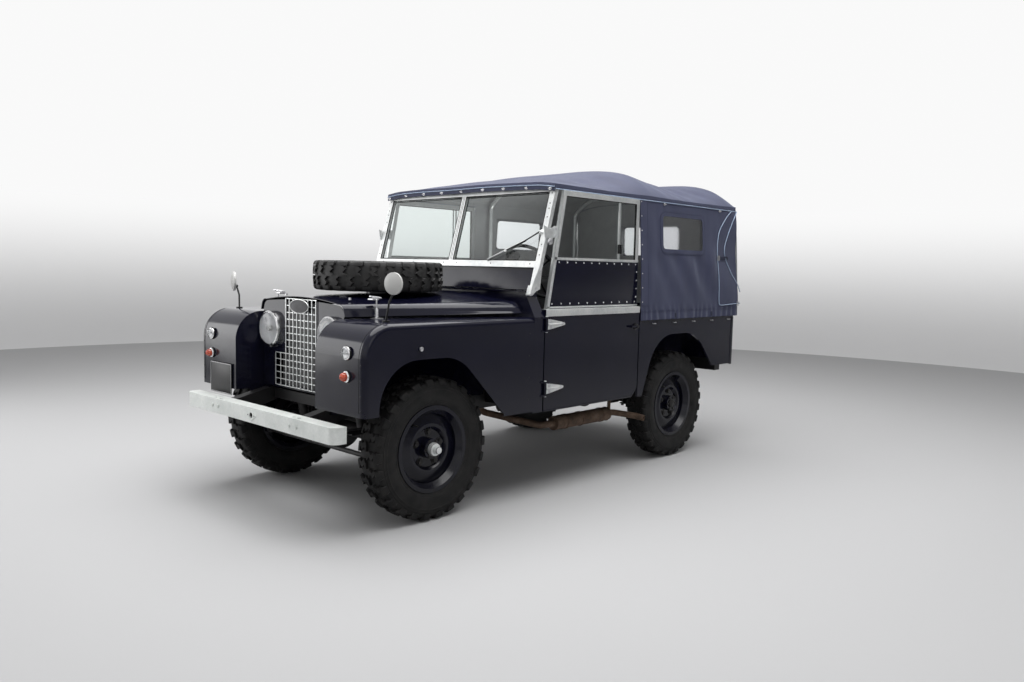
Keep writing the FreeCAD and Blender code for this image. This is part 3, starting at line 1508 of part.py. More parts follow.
def make_doors():
    front = station(p.door_front_x)
    rear = aft(p.door_rear_x)
    out = p.body_half_width
    inner = out - p.door_gauge
    skin = plate("door_skin", "side", [
        (front, p.door_bottom), (front, p.door_waist), (rear, p.door_waist), (rear, p.door_bottom + 60),
        (rear + 60, p.door_bottom)], inner, out)
    capping = box("door_capping_bar", (rear, front), (inner - 4, out + 3), (p.door_waist - 1,
            p.door_waist + p.door_capping))
    straps = []
    hinge_y = out + p.door_hinge_out
    for z in (p.door_strap_low, p.door_strap_high):
        straps.append(plate("strap", "side", [
            (front - 6, z - 32), (front - 6, z + 32), (front - p.door_strap_length, z + 6),
            (front - p.door_strap_length, z - 6)], out - 1, hinge_y - 3))
        straps.append(barrel("door_barrel", "z", (front, hinge_y, z - 32), 64))
    handle = box("door_handle", (rear + 16, rear + 100), (out - 1, out + 22), (p.door_waist - 95,
            p.door_waist - 83))
    left = join("door_parts", [skin, capping, handle] + straps)
    node("door_left", left)
    node("door_right", mirrored("door_parts_right", left))


def screen_line(z):
    """X of the windscreen's rear face at a height."""
    rise = float(z) - float(screen_foot())
    lean = math.radians(float(p.screen_lean))
    return float(station(p.screen_foot_x)) - rise * math.tan(lean) - float(p.screen_frame_depth) / 2 / math.cos(lean)


def make_side_screens():
    bottom = float(p.door_waist + p.door_capping) + 0.3
    top = float(p.side_screen_top)
    split = float(p.side_screen_panel_top)
    gap = float(p.running_gap)
    rear = float(aft(p.door_rear_x))
    front = float(station(p.door_front_x))
    bar = float(p.side_screen_bar)
    mid = float(side_screen_offset)
    half = float(p.side_screen_gauge) / 2
    head = screen_line(top) - gap - float(p.side_screen_setback)
    foot = front - 30

    def front_edge(z):
        return foot + (head - foot) * (z - bottom) / (top - bottom)

    outline = [(foot, bottom), (head, top), (rear, top), (rear, bottom)]
    frame = slab(outline, "side", mid - half, mid + half)
    window = [(front_edge(split) - bar, split), (front_edge(top - bar) - bar, top - bar),
              (rear + bar, top - bar), (rear + bar, split)]
    frame = frame.cut(slab(window, "side", mid - half - 5, mid + half + 5))
    left = shaped("side_screen_frame", frame)
    node("side_screen_left", left)
    node("side_screen_right", mirrored("side_screen_frame_right", left))
    face = Part.Face(outline_wire(window, "side", mid - 2.5))
    small = face.extrude(V(0, 5, 0))
    centre = small.CenterOfMass
    scale = FreeCAD.Matrix()
    scale.move(-centre)
    scale.scale(V(0.9994, 1, 0.9988))
    scale.move(centre)
    glass = shaped("side_glass", small.transformGeometry(scale))
    node("side_glass_left", glass)
    node("side_glass_right", mirrored("side_glass_right_copy", glass))


# Hood

def roof_section(x, crown, gauge):
    """A closed section of the roof canvas across the car."""
    half = float(cant_half_width)
    cant = float(p.cant_height)
    outer = []
    inner = []
    for share in (-1, -0.95, -0.85, -0.7, -0.4, 0, 0.4, 0.7, 0.85, 0.95, 1):
        rise = 1 - abs(share) ** float(p.hoop_squareness)
        outer.append(V(x, half * share, cant + (crown - cant) * rise))
        inner.append(V(x, (half - gauge) * share,
                cant - gauge * 0.2 + (crown - gauge - cant + gauge * 0.2) * rise))
    top = Part.BSplineCurve()
    top.interpolate(outer)
    low = Part.BSplineCurve()
    low.interpolate(inner[::-1])
    edges = [top.toShape(), Part.makeLine(outer[-1], inner[-1]), low.toShape(), Part.makeLine(inner[0],
            outer[0])]
    return Part.Wire(edges)


def make_hood():
    gauge = float(p.hood_gauge)
    peak = float(p.hood_peak)
    cant = float(p.cant_height)
    front = float(station(p.hood_front_x))
    rear = float(aft(p.hood_rear_x))
    hoop_front = float(aft(p.front_hoop_x))
    hoop_rear = float(aft(p.rear_hoop_x))
    end = float(p.hood_rear_crown)
    middle = (hoop_front + hoop_rear) / 2
    stations = [(front, cant + 20), (front - 150, cant + 52), (front - 320, cant + 88), (hoop_front + 420,
            peak - 62),
                (hoop_front + 230, peak - 26), (hoop_front + 80, peak - 4), (hoop_front, peak),
                (hoop_front - 90, peak - 8), (hoop_front - 240, peak - 32), (middle, peak - 50),
                (hoop_rear + 240, peak - 34), (hoop_rear + 90, peak - 18), (hoop_rear, peak - 14),
                (rear + 44, peak - 30), (rear + 16, peak - 58), (rear, end)]
    roof = Part.makeLoft([roof_section(x, crown, gauge) for x, crown in stations], True, True)
    node("hood_roof", shaped("hood_roof_shape", roof))
    side_front = float(aft(p.hood_side_front_x))
    hem = float(p.hood_hem)
    eave = cant - 1.7
    outline = [(side_front, eave), (rear, eave), (rear - 26, hem), (side_front, hem + 8)]
    ahead = float(aft(p.hood_window_front_x))
    behind = float(aft(p.hood_window_rear_x))
    sill = float(p.hood_window_bottom)
    head = float(p.hood_window_top)
    lap = float(p.hood_window_lap)
    window = [(ahead, sill), (ahead, head), (behind, head), (behind, sill)]
    low = float(cant_half_width) - gauge
    side = slab(outline, "side", low, low + gauge).cut(slab(window, "side", low - 5, low + gauge + 5))
    lean = math.degrees(math.atan2(float(p.hood_flare), cant - hem))
    side.rotate(V(0, low, eave), V(1, 0, 0), lean)
    pane_points = [(ahead + lap, sill - lap), (ahead + lap, head + lap), (behind - lap, head + lap),
            (behind - lap, sill - lap)]
    pane = slab(pane_points, "side", low - 2.3, low - 0.3)
    pane.rotate(V(0, low, eave), V(1, 0, 0), lean)
    left = shaped("hood_side", side)
    node("hood_sides", pair("hood_side_pair", left))
    left_pane = shaped("hood_pane", pane)
    back = rear_curtain(rear, gauge)
    across = float(p.back_window_half)
    sill = float(p.back_window_bottom)
    head = float(p.back_window_top)
    back_window = slab([(-across, sill), (-across, head), (across, head), (across, sill)], "front",
            rear - 20, rear + 20)
    node("hood_rear", shaped("hood_rear_shape", back.cut(back_window)))
    across += lap
    back_points = [(-across, sill - lap), (-across, head + lap), (across, head + lap), (across, sill - lap)]
    back_pane = slab(back_points, "front", rear + gauge + 0.3, rear + gauge + 2.3)
    panes = [left_pane, mirrored("hood_pane_right", left_pane), shaped("hood_back_pane", back_pane)]
    node("hood_windows", group("hood_window_set", panes))
    hoops = [shaped("hoop", hoop_shape(x, crown)) for x, crown in ((hoop_front, peak), (hoop_rear,
            peak - 14))]
    node("hood_frame", group("hood_frame_set", hoops))


def rear_curtain(rear, gauge):
    """The curtain that fills the roof's end, from the tub's waist up."""
    half = float(cant_half_width) - gauge - 0.5
    cant = float(p.cant_height) - gauge * 0.2 - 0.4
    crown = float(p.hood_rear_crown) - gauge - 0.4
    foot = float(p.tub_waist + p.seat_gap)
    over = [V(rear, half * share, cant + (crown - cant) * (1 - abs(share) ** float(p.hoop_squareness)))
            for share in (1, 0.95, 0.85, 0.7, 0.4, 0, -0.4, -0.7, -0.85, -0.95, -1)]
    top = Part.BSplineCurve()
    top.interpolate(over)
    low_left = V(rear, half, foot)
    low_right = V(rear, -half, foot)
    wire = Part.Wire([Part.makeLine(low_left, over[0]), top.toShape(), Part.makeLine(over[-1], low_right),
                      Part.makeLine(low_right, low_left)])
    return Part.Face(wire).extrude(V(gauge, 0, 0))


def hoop_leg():
    """How far a hoop's legs stand from the middle of the car."""
    return float(cant_half_width - p.hood_gauge - p.hoop_radius) - 24


def hoop_shape(x, crown):
    """A bent tube that stands on the tub and follows the roof canvas from below."""
    r = float(p.hoop_radius)
    foot = float(p.tub_waist + p.seat_gap)
    cant = float(p.cant_height)
    leg = hoop_leg()
    rise = crown - cant
    knee = V(x, leg, cant - 17)
    brow = V(x, leg * 0.8, cant + rise * 0.58)
    top = crown - float(p.hood_gauge) - r - 10
    points = [(V(x, leg, foot), 0), (knee, 70), (brow, 300), (V(x, 0, top), 2000)]
    points += [(V(x, -place.y, place.z), bend) for place, bend in points[-2::-1]]
    return bent_tube(points, r)


def mirror_shape(foot, head, facing, radius):
    """A round mirror on a bent stem that stands on a wing."""
    base = Part.makeCylinder(18, 6, foot, V(0, 0, 1))
    face = V(*facing).normalize()
    neck = head - face * 14 - V(0, 0, radius * 0.5)
    elbow = foot + V(-8, (head.y - foot.y) * 0.35, (neck.z - foot.z) * 0.6)
    stem = bent_tube([(foot + V(0, 0, 3), 0), (elbow, 30), (neck, 0)], 5)
    bowl = Part.makeCylinder(radius, 10, head - face * 5, face)
    dome = Part.makeCone(radius, radius * 0.55, 9, head + face * 5, face)
    boss = Part.makeSphere(9, neck)
    arm = Part.makeCylinder(5, 16, neck, face)
    return base.fuse([stem, bowl, dome, boss, arm])


def make_mirrors():
    top = float(p.wing_top + p.seat_gap)
    axle = float(front_axle)
    out = float(p.body_half_width)
    left = mirror_shape(V(axle + 262, out - 125, top), V(axle + 250, out - 84, 1188), (0.97, 0.2, 0), 52)
    right = mirror_shape(V(axle + 290, 85 - out, top), V(axle + 298, 40 - out, 1160), (0.93, -0.35, 0), 55)
    node("mirrors", group("mirror_pair", [shaped("mirror_left", left), shaped("mirror_right", right)]))


def build_all():
    make_wheels()
    make_axles()
    make_knuckles()
    make_track_rod()
    make_chassis()
    make_springs()
    make_driveline()
    make_bumper()
    make_tow_jaw()
    make_exhaust()
    make_tank()
    make_radiator_panel()
    make_grille()
    make_lamps()
    make_wings()
    make_bonnet()
    make_bulkhead()
    make_windscreen()
    make_floor()
    make_seats()
    make_steering_wheel()
    make_controls()
    make_tub()
    make_tailgate()
    make_doors()
    make_side_screens()
    make_hood()
    make_mirrors()


build_all()
doc.recompute()
os.makedirs("parts", exist_ok=True)
for name, item in nodes.items():
    shape = item.Shape
    bad = [state for state in item.State if state in ("Invalid", "Error")]
    if bad or shape.isNull() or not shape.isValid():
        raise ValueError(f"{name} is not sound: {item.State}")
    shape.exportStep(f"parts/{name}.step")
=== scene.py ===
import bpy
import bmesh
import json
import math
from mathutils import Matrix, Vector, noise
from mathutils.bvhtree import BVHTree


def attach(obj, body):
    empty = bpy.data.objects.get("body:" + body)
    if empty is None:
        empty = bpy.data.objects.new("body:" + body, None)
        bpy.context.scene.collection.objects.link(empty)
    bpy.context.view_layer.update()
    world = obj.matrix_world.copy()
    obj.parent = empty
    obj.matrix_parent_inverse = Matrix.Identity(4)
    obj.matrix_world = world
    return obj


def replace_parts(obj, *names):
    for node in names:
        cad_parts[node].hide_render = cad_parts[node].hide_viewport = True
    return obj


# Dressing for the light army 4x4 car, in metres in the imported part's frame:
# X forward, Y to the car's left, Z up from the ground.

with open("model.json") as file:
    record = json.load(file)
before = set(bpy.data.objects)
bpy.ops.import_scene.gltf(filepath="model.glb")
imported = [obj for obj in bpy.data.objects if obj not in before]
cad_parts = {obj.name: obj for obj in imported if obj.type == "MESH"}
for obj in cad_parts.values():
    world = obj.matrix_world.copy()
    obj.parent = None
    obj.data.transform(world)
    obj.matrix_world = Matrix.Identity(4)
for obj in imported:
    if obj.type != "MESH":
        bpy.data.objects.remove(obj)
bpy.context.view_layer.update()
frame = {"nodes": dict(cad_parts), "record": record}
print("frame loaded:", len(frame["nodes"]), "nodes")


# Makes a node of any tree, sets its properties, and links or fills its inputs.
def addNode(tree, kind, inputs=None, **properties):
    node = tree.nodes.new(kind)
    for key, value in properties.items():
        setattr(node, key, value)
    for key, value in (inputs or {}).items():
        if isinstance(value, bpy.types.NodeSocket):
            tree.links.new(value, node.inputs[key])
        else:
            node.inputs[key].default_value = value
    return node


def noiseField(tree, point, scale, detail=3, roughness=0.5):
    values = {"Vector": point, "Scale": scale, "Detail": detail, "Roughness": roughness}
    return addNode(tree, "ShaderNodeTexNoise", values).outputs["Fac"]


def ramp(tree, source, stops):
    node = addNode(tree, "ShaderNodeValToRGB", {"Fac": source})
    band = node.color_ramp
    while len(band.elements) < len(stops):
        band.elements.new(0.5)
    for element, (place, colour) in zip(band.elements, stops.items()):
        element.position = place
        element.color = (*colour, 1)
    return node.outputs["Color"]


def levels(tree, source, low, high, fromLow=0.0, fromHigh=1.0):
    values = {"Value": source, "From Min": fromLow, "From Max": fromHigh, "To Min": low, "To Max": high}
    return addNode(tree, "ShaderNodeMapRange", values).outputs["Result"]


def blended(tree, share, first, second):
    return addNode(tree, "ShaderNodeMix", {0: share, 6: first, 7: second}, data_type="RGBA").outputs[2]


def combined(tree, kind, *values):
    return addNode(tree, "ShaderNodeMath", dict(enumerate(values)), operation=kind).outputs[0]


# Finishes, from nodes on Object coordinates or on a cloth's own UV map in metres.
def newMaterial(name, colour, roughness, **sockets):
    material = bpy.data.materials.new(name)
    material.use_nodes = True
    tree = material.node_tree
    given = {"Base Color": (*colour, 1), "Roughness": roughness}
    given.update({key.replace("_", " "): value for key, value in sockets.items()})
    for socket, value in given.items():
        tree.nodes["Principled BSDF"].inputs[socket].default_value = value
    return material, tree, addNode(tree, "ShaderNodeTexCoord").outputs["Object"]


# Links a colour, a roughness and a bumped grain to the shader, and returns its material.
def dress(material, colour=None, shine=None, grain=None, strength=0.0, distance=0.0):
    tree = material.node_tree
    normal = None
    if grain:
        bump = {"Height": grain, "Strength": strength, "Distance": distance}
        normal = addNode(tree, "ShaderNodeBump", bump).outputs["Normal"]
    for socket, source in (("Base Color", colour), ("Roughness", shine), ("Normal", normal)):
        if source:
            tree.links.new(source, tree.nodes["Principled BSDF"].inputs[socket])
    return material


# Polished enamel: the slow ripple of beaten panels, fine orange peel, and road dust up to dustTop.
def paint(name, colour, dusty, gloss=0.12, specular=0.36, dustTop=0.9):
    material, tree, point = newMaterial(name, colour, gloss, Specular_IOR_Level=specular)
    height = addNode(tree, "ShaderNodeSeparateXYZ", {0: point}).outputs["Z"]
    dust = combined(tree, "MULTIPLY", levels(tree, height, 0.55, 0.0, 0.15, dustTop),
                    noiseField(tree, point, 14, 6, 0.7))
    clean = ramp(tree, noiseField(tree, point, 3.5, 5, 0.6), {0.3: colour, 0.85: [c * 1.35 for c in colour]})
    shine = levels(tree, noiseField(tree, point, 7, 5), gloss - 0.05, gloss + 0.09)
    ripple = combined(tree, "MULTIPLY_ADD", noiseField(tree, point, 5, 2), 6.0, noiseField(tree, point, 220, 2))
    return dress(material, blended(tree, dust, clean, (*dusty, 1)),
                 combined(tree, "ADD", shine, combined(tree, "MULTIPLY", dust, 0.35)), ripple, 0.05, 0.0009)


# Zinc dip with its spangle and dull streaks.
def metal(name, light, dark, roughness, metallic, spangle=95):
    material, tree, point = newMaterial(name, light, roughness, Metallic=metallic)
    cells = addNode(tree, "ShaderNodeTexVoronoi", {"Vector": point, "Scale": spangle}).outputs["Color"]
    patches = ramp(tree, noiseField(tree, point, 7, 5), {0.3: dark, 0.62: light})
    return dress(material, blended(tree, 0.3, patches, ramp(tree, cells, {0.2: dark, 0.9: light})),
                 levels(tree, noiseField(tree, point, 40, 3), roughness - 0.08, roughness + 0.14),
                 noiseField(tree, point, 300, 2), 0.1, 0.0004)


def rubber(name, colour, dusty, roughness=0.6, specular=0.3, grain=420):
    material, tree, point = newMaterial(name, colour, roughness, Specular_IOR_Level=specular)
    return dress(material, ramp(tree, noiseField(tree, point, 11, 5, 0.65), {0.38: colour, 0.82: dusty}),
                 levels(tree, noiseField(tree, point, 30, 4), roughness - 0.12, roughness + 0.16),
                 noiseField(tree, point, grain, 3), 0.25, 0.0005)


# Proofed cotton duck: a plain weave on the cloth's UV map, faded patches and rubbed folds.
def duck(name, colour, worn, threads=700):
    material, tree, point = newMaterial(name, colour, 0.66, Specular_IOR_Level=0.4, Sheen_Weight=0.22,
                                        Sheen_Roughness=0.4, Sheen_Tint=(0.75, 0.82, 1.0, 1))
    uv = addNode(tree, "ShaderNodeUVMap", uv_map="cloth").outputs["UV"]
    waves = [addNode(tree, "ShaderNodeTexWave", {"Vector": uv, "Scale": threads / 6.28, "Distortion": 0.6},
                     bands_direction=direction).outputs["Fac"] for direction in "XY"]
    weave = combined(tree, "MAXIMUM", *waves)
    fade = ramp(tree, noiseField(tree, point, 4, 6, 0.65), {0.3: colour, 0.75: worn})
    tinted = blended(tree, levels(tree, weave, 0.35, 0.0), fade, (*[c * 0.6 for c in colour], 1))
    tall = addNode(tree, "ShaderNodeMapping", {"Vector": point, "Scale": (1.2, 1.2, 0.25)}).outputs["Vector"]
    streaks = noiseField(tree, tall, 9, 5, 0.7)
    rubbed = blended(tree, levels(tree, streaks, 0.0, 0.3, 0.5, 0.85), tinted, (*[c * 1.6 for c in worn], 1))
    grain = combined(tree, "ADD", combined(tree, "MULTIPLY", weave, 0.5), noiseField(tree, point, 90, 4))
    return dress(material, rubbed, levels(tree, streaks, 0.56, 0.78), grain, 0.3, 0.0006)


def pane(name, tint, roughness):
    material, tree, point = newMaterial(name, tint, roughness, IOR=1.45, Transmission_Weight=1.0)
    return dress(material, shine=levels(tree, noiseField(tree, point, 12, 4), roughness, roughness + 0.03))


# Coloured moulded plastic, deeper in patches.
def moulded(name, colour, deep):
    material, tree, point = newMaterial(name, colour, 0.15, Coat_Weight=0.6, Coat_Roughness=0.05)
    return dress(material, ramp(tree, noiseField(tree, point, 60, 2), {0.3: deep, 0.7: colour}), None,
                 noiseField(tree, point, 500, 1), 0.25, 0.0005)


def rusted(name, dark, brown, pale):
    material, tree, point = newMaterial(name, brown, 0.75, Metallic=0.2, Specular_IOR_Level=0.3)
    blotches = noiseField(tree, point, 14, 6, 0.7)
    return dress(material, ramp(tree, blotches, {0.25: dark, 0.5: brown, 0.75: pale}),
                 levels(tree, blotches, 0.55, 0.9), noiseField(tree, point, 220, 4), 0.4, 0.001)


# Leathercloth with a fine pebble grain.
def leathercloth(name, colour, worn):
    material, tree, point = newMaterial(name, colour, 0.48)
    cells = addNode(tree, "ShaderNodeTexVoronoi", {"Vector": point, "Scale": 420}).outputs["Distance"]
    return dress(material, ramp(tree, noiseField(tree, point, 8, 4), {0.35: colour, 0.8: worn}),
                 levels(tree, noiseField(tree, point, 20, 3), 0.4, 0.6), cells, 0.3, 0.0007)


# Each finish: its recipe, the record's slot that it goes with, and the recipe's values.
palette = {
    "navyPaint": (paint, "navy_paint", (0.0034, 0.0036, 0.0115), (0.022, 0.021, 0.02), 0.12, 0.32),
    # The rims' paint is a darker, less dusty copy of the body's navy: painted shade on the wheels' upright faces.
    "wheelPaint": (paint, "navy_paint", (0.0022, 0.0024, 0.0075), (0.012, 0.0115, 0.011), 0.12, 0.3, 0.45),
    "chassisBlack": (paint, "chassis_black", (0.006, 0.006, 0.007), (0.035, 0.031, 0.027), 0.42, 0.36, 0.7),
    "plateBlack": (paint, "chassis_black", (0.005, 0.005, 0.006), (0.02, 0.02, 0.02), 0.3),
    "plateEnamel": (paint, "galvanised", (0.42, 0.42, 0.41), (0.3, 0.29, 0.27), 0.34),
    "bakelite": (paint, "black_bakelite", (0.008, 0.008, 0.009), (0.018, 0.018, 0.02), 0.3),
    "zinc": (metal, "galvanised", (0.8, 0.81, 0.8), (0.56, 0.585, 0.59), 0.36, 0.7),
    "bumperZinc": (metal, "galvanised", (0.72, 0.74, 0.72), (0.56, 0.59, 0.57), 0.5, 0.35),
    "castAlloy": (metal, "galvanised", (0.11, 0.11, 0.115), (0.05, 0.05, 0.05), 0.6, 0.4),
    "chrome": (metal, "galvanised", (0.82, 0.82, 0.82), (0.68, 0.68, 0.69), 0.14, 1.0),
    "brightSteel": (metal, "galvanised", (0.7, 0.7, 0.71), (0.5, 0.5, 0.52), 0.3, 0.9),
    "reflector": (metal, "lamp_glass", (0.93, 0.93, 0.94), (0.8, 0.8, 0.82), 0.5, 0.2),
    "tyreRubber": (rubber, "tyre", (0.0065, 0.0065, 0.007), (0.02, 0.019, 0.018), 0.6, 0.22),
    # The spare's rubber is a lighter, shinier copy of the tyre rubber: painted light on the spare lying face up on
    # the bonnet.
    "spareRubber": (rubber, "tyre", (0.011, 0.011, 0.0115), (0.03, 0.029, 0.028), 0.6, 0.45),
    "sealRubber": (rubber, "black_bakelite", (0.008, 0.008, 0.008), (0.016, 0.016, 0.016), 0.7),
    "piping": (rubber, "canvas", (0.25, 0.32, 0.44), (0.36, 0.42, 0.53), 0.5, 0.4),
    "webbing": (rubber, "canvas", (0.02, 0.023, 0.045), (0.03, 0.034, 0.06), 0.75, 0.3, 900),
    "lining": (rubber, "canvas", (0.30, 0.305, 0.31), (0.36, 0.365, 0.37), 0.8, 0.2),
    "canvas": (duck, "canvas", (0.027, 0.031, 0.066), (0.041, 0.046, 0.09)),
    "windowFilm": (pane, "clear_pane", (0.97, 0.98, 1.0), 0.05),
    "glassPane": (pane, "clear_pane", (0.93, 0.97, 0.96), 0.01),
    "flutedGlass": (pane, "lamp_glass", (0.92, 0.94, 0.95), 0.06),
    "orangeLens": (moulded, "amber_lens", (0.62, 0.075, 0.018), (0.34, 0.025, 0.008)),
    "redLens": (moulded, "red_lens", (0.5, 0.01, 0.01), (0.25, 0.005, 0.005)),
    "rust": (rusted, "rusty_steel", (0.035, 0.025, 0.02), (0.1, 0.066, 0.046), (0.19, 0.135, 0.1)),
    "hide": (leathercloth, "seat_cloth", (0.012, 0.012, 0.014), (0.03, 0.03, 0.034)),
}
finishes = {name: recipe(name, *values) for name, (recipe, slot, *values) in palette.items()}

nodeFinish = {
    "navy_paint": "navyPaint", "chassis_black": "chassisBlack", "galvanised": "zinc", "tyre": "tyreRubber",
    "canvas": "canvas", "clear_pane": "glassPane", "lamp_glass": "chrome", "amber_lens": "orangeLens",
    "red_lens": "redLens", "cast_alloy": "castAlloy", "rusty_steel": "rust", "seat_cloth": "hide",
    "black_bakelite": "bakelite",
}
finishOverride = {"front_bumper": "bumperZinc", "hood_windows": "windowFilm"}
slotOf = {row["node"]: row["material_slot"] for row in frame["record"]["subparts"]}
for nodeName, nodeObject in frame["nodes"].items():
    chosen = finishOverride.get(nodeName, nodeFinish[slotOf[nodeName]])
    # Rims take the darker copy of the body paint, which is painted shade.
    if "rim" in nodeName.split("_"):
        chosen = "wheelPaint"
    nodeObject.data.materials.clear()
    nodeObject.data.materials.append(finishes[chosen])
print("finishes laid on the solids")


# Angles once round, and even steps between two numbers.
def circle(sides):
    return [2 * math.pi * k / sides for k in range(sides)]


def spread(start, end, steps):
    return [start + (end - start) * i / steps for i in range(steps + 1)]


def corners(u0, u1, v0, v1):
    return [(u0, v0), (u0, v1), (u1, v1), (u1, v0)]


def link(name, mesh):
    piece = bpy.data.objects.new(name, mesh)
    bpy.context.scene.collection.objects.link(piece)
    return piece


def solidMesh(name, bm, turnOut=True):
    if turnOut:
        bmesh.ops.recalc_face_normals(bm, faces=bm.faces)
    mesh = bpy.data.meshes.new(name)
    bm.to_mesh(mesh)
    bm.free()
    return link(name, mesh)


# Gives a finished piece its finish, its smooth shading and its body.
def keep(piece, finish, body="body", smooth=True):
    mesh = piece.data
    if not mesh.materials:
        mesh.materials.append(finishes[finish])
    if smooth:
        mesh.shade_smooth()
        mesh.set_sharp_from_angle(angle=math.radians(34))
    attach(piece, body)
    return piece


# Builds one piece from shapes, each a function with its values after the mesh.
def built(name, finish, shapes, body="body", weld=False):
    bm = bmesh.new()
    for add, *values in shapes:
        add(bm, *values)
    if weld:
        bmesh.ops.remove_doubles(bm, verts=bm.verts, dist=0.0001)
    return keep(solidMesh(name, bm), finish, body)


# Leaves the plain mesh that a piece's modifiers make.
def applied(piece):
    bpy.context.view_layer.update()
    mesh = bpy.data.meshes.new_from_object(piece.evaluated_get(bpy.context.evaluated_depsgraph_get()))
    piece.modifiers.clear()
    piece.data = mesh
    return piece


def bevelled(bm, edges, bevel):
    return bmesh.ops.bevel(bm, geom=edges, offset=bevel, segments=2, profile=0.6, affect="EDGES")


# A box between two corners, bevelled about the origin and then moved into place.
def addBox(bm, low, high, bevel):
    low, high = Vector(low), Vector(high)
    made = bmesh.ops.create_cube(bm, size=1)["verts"]
    for v in made:
        v.co = Vector([v.co[i] * (high - low)[i] for i in range(3)])
    got = bevelled(bm, list({e for v in made for e in v.link_edges}), bevel)
    for v in {v for f in got["faces"] for v in f.verts} | {v for v in made if v.is_valid}:
        v.co += (low + high) / 2


def addRing(bm, centre, u, v, radius, sides):
    return [bm.verts.new(centre + (u * math.cos(a) + v * math.sin(a)) * radius) for a in circle(sides)]


# Faces between rings of points; a ring of one point is a pole.
def bridge(bm, rings):
    for low, high in zip(rings, rings[1:]):
        for k in range(max(len(low), len(high))):
            four = [ring[(k + step) % len(ring)] for ring, step in ((low, 0), (low, 1), (high, 1), (high, 0))]
            bm.faces.new(list(dict.fromkeys(four)))


# A tube along points with capped ends, or closed on itself.
def addTube(bm, points, radius, sides=10, closed=False):
    path = [Vector(p) for p in points]
    rings, count, normal = [], len(path), None
    for i, here in enumerate(path):
        ahead = path[(i + 1) % count] if (closed or i + 1 < count) else here
        behind = path[i - 1] if (closed or i > 0) else here
        along = (ahead - behind).normalized()
        if normal is None:
            normal = along.orthogonal().normalized()
        normal = (normal - along * normal.dot(along)).normalized()
        size = radius[i] if isinstance(radius, (list, tuple)) else radius
        rings.append(addRing(bm, here, normal, along.cross(normal), size, sides))
    bridge(bm, rings + rings[:1] if closed else rings)
    if not closed:
        bm.faces.new(rings[0][::-1])
        bm.faces.new(rings[-1])


# Turns a profile of (along, radius) points about an axis through a place.
def addLathe(bm, profile, place, axis, sides=48):
    axis = Vector(axis).normalized()
    side = axis.orthogonal().normalized()
    rings = []
    for along, radius in profile:
        centre = Vector(place) + axis * along
        rings.append(addRing(bm, centre, side, axis.cross(side), radius, sides) if radius > 1e-6
                     else [bm.verts.new(centre)])
    bridge(bm, rings)


# A plate with a polygon outline, thickened along a direction.
def addPlate(bm, outline, normal, thickness, bevel=0.0):
    push = Vector(normal).normalized() * thickness
    low, high = ([bm.verts.new(Vector(p) + lift) for p in outline] for lift in (Vector(), push))
    bm.faces.new(low[::-1])
    bm.faces.new(high)
    bridge(bm, [low, high])
    if bevel:
        bevelled(bm, list({e for v in low + high for e in v.link_edges}), bevel)


# A ribbon along a path, in flat lengths.
def ribbon(path, half, normal, gauge):
    return [(addPlate, [a + half, b + half, b - half, a - half], normal, gauge) for a, b in zip(path, path[1:])]


def newTree(name, **sizes):
    tree = bpy.data.node_groups.new(name, "GeometryNodeTree")
    tree.interface.new_socket("Geometry", in_out="OUTPUT", socket_type="NodeSocketGeometry")
    kinds = {"Geometry": "Geometry", "Material": "Material", "Pattern": "Object", "Count": "Int"}
    for label, value in {"Geometry": None, **sizes, "Material": None}.items():
        kind = "NodeSocket" + kinds.get(label, "Float")
        socket = tree.interface.new_socket(label, in_out="INPUT", socket_type=kind)
        if value is not None:
            socket.default_value = value
    return tree, addNode(tree, "NodeGroupInput").outputs


# Puts a shape on points, realizes the copies and sets their material.
def closeTree(tree, given, points, shape, rotation=None):
    if rotation is None:
        facing = addNode(tree, "GeometryNodeInputNamedAttribute", {"Name": "facing"}, data_type="FLOAT_VECTOR")
        rotation = addNode(tree, "FunctionNodeAlignRotationToVector", {"Vector": facing.outputs["Attribute"]},
                           axis="Z").outputs["Rotation"]
    copies = addNode(tree, "GeometryNodeInstanceOnPoints",
                     {"Points": points, "Instance": shape, "Rotation": rotation}).outputs["Instances"]
    real = addNode(tree, "GeometryNodeRealizeInstances", {"Geometry": copies}).outputs["Geometry"]
    coat = addNode(tree, "GeometryNodeSetMaterial", {"Geometry": real, "Material": given["Material"]})
    addNode(tree, "NodeGroupOutput", {"Geometry": coat.outputs["Geometry"]})
    return tree


def sizeFrom(tree, wide, tall):
    return addNode(tree, "ShaderNodeCombineXYZ", {"X": wide, "Y": wide, "Z": tall}).outputs["Vector"]


# Domed rivet heads on points.
def rivetTree():
    tree, given = newTree("rivets", Radius=0.004, Height=0.002)
    ball = addNode(tree, "GeometryNodeMeshUVSphere", {"Segments": 10, "Rings": 6}).outputs["Mesh"]
    dome = addNode(tree, "GeometryNodeTransform",
                   {"Geometry": ball, "Scale": sizeFrom(tree, given["Radius"], given["Height"])})
    return closeTree(tree, given, given["Geometry"], dome.outputs["Geometry"])


# Hexagon heads with a washer under each, on points.
def boltTree():
    tree, given = newTree("bolts", Across=0.013, Height=0.006)
    both = addNode(tree, "GeometryNodeJoinGeometry")
    for sides, wide, deep in ((6, 0.57, 2.0), (16, 0.85, 0.3)):
        values = {"Vertices": sides, "Radius": combined(tree, "MULTIPLY", given["Across"], wide),
                  "Depth": combined(tree, "MULTIPLY", given["Height"], deep)}
        tree.links.new(addNode(tree, "GeometryNodeMeshCylinder", values).outputs["Mesh"], both.inputs["Geometry"])
    return closeTree(tree, given, given["Geometry"], both.outputs["Geometry"])


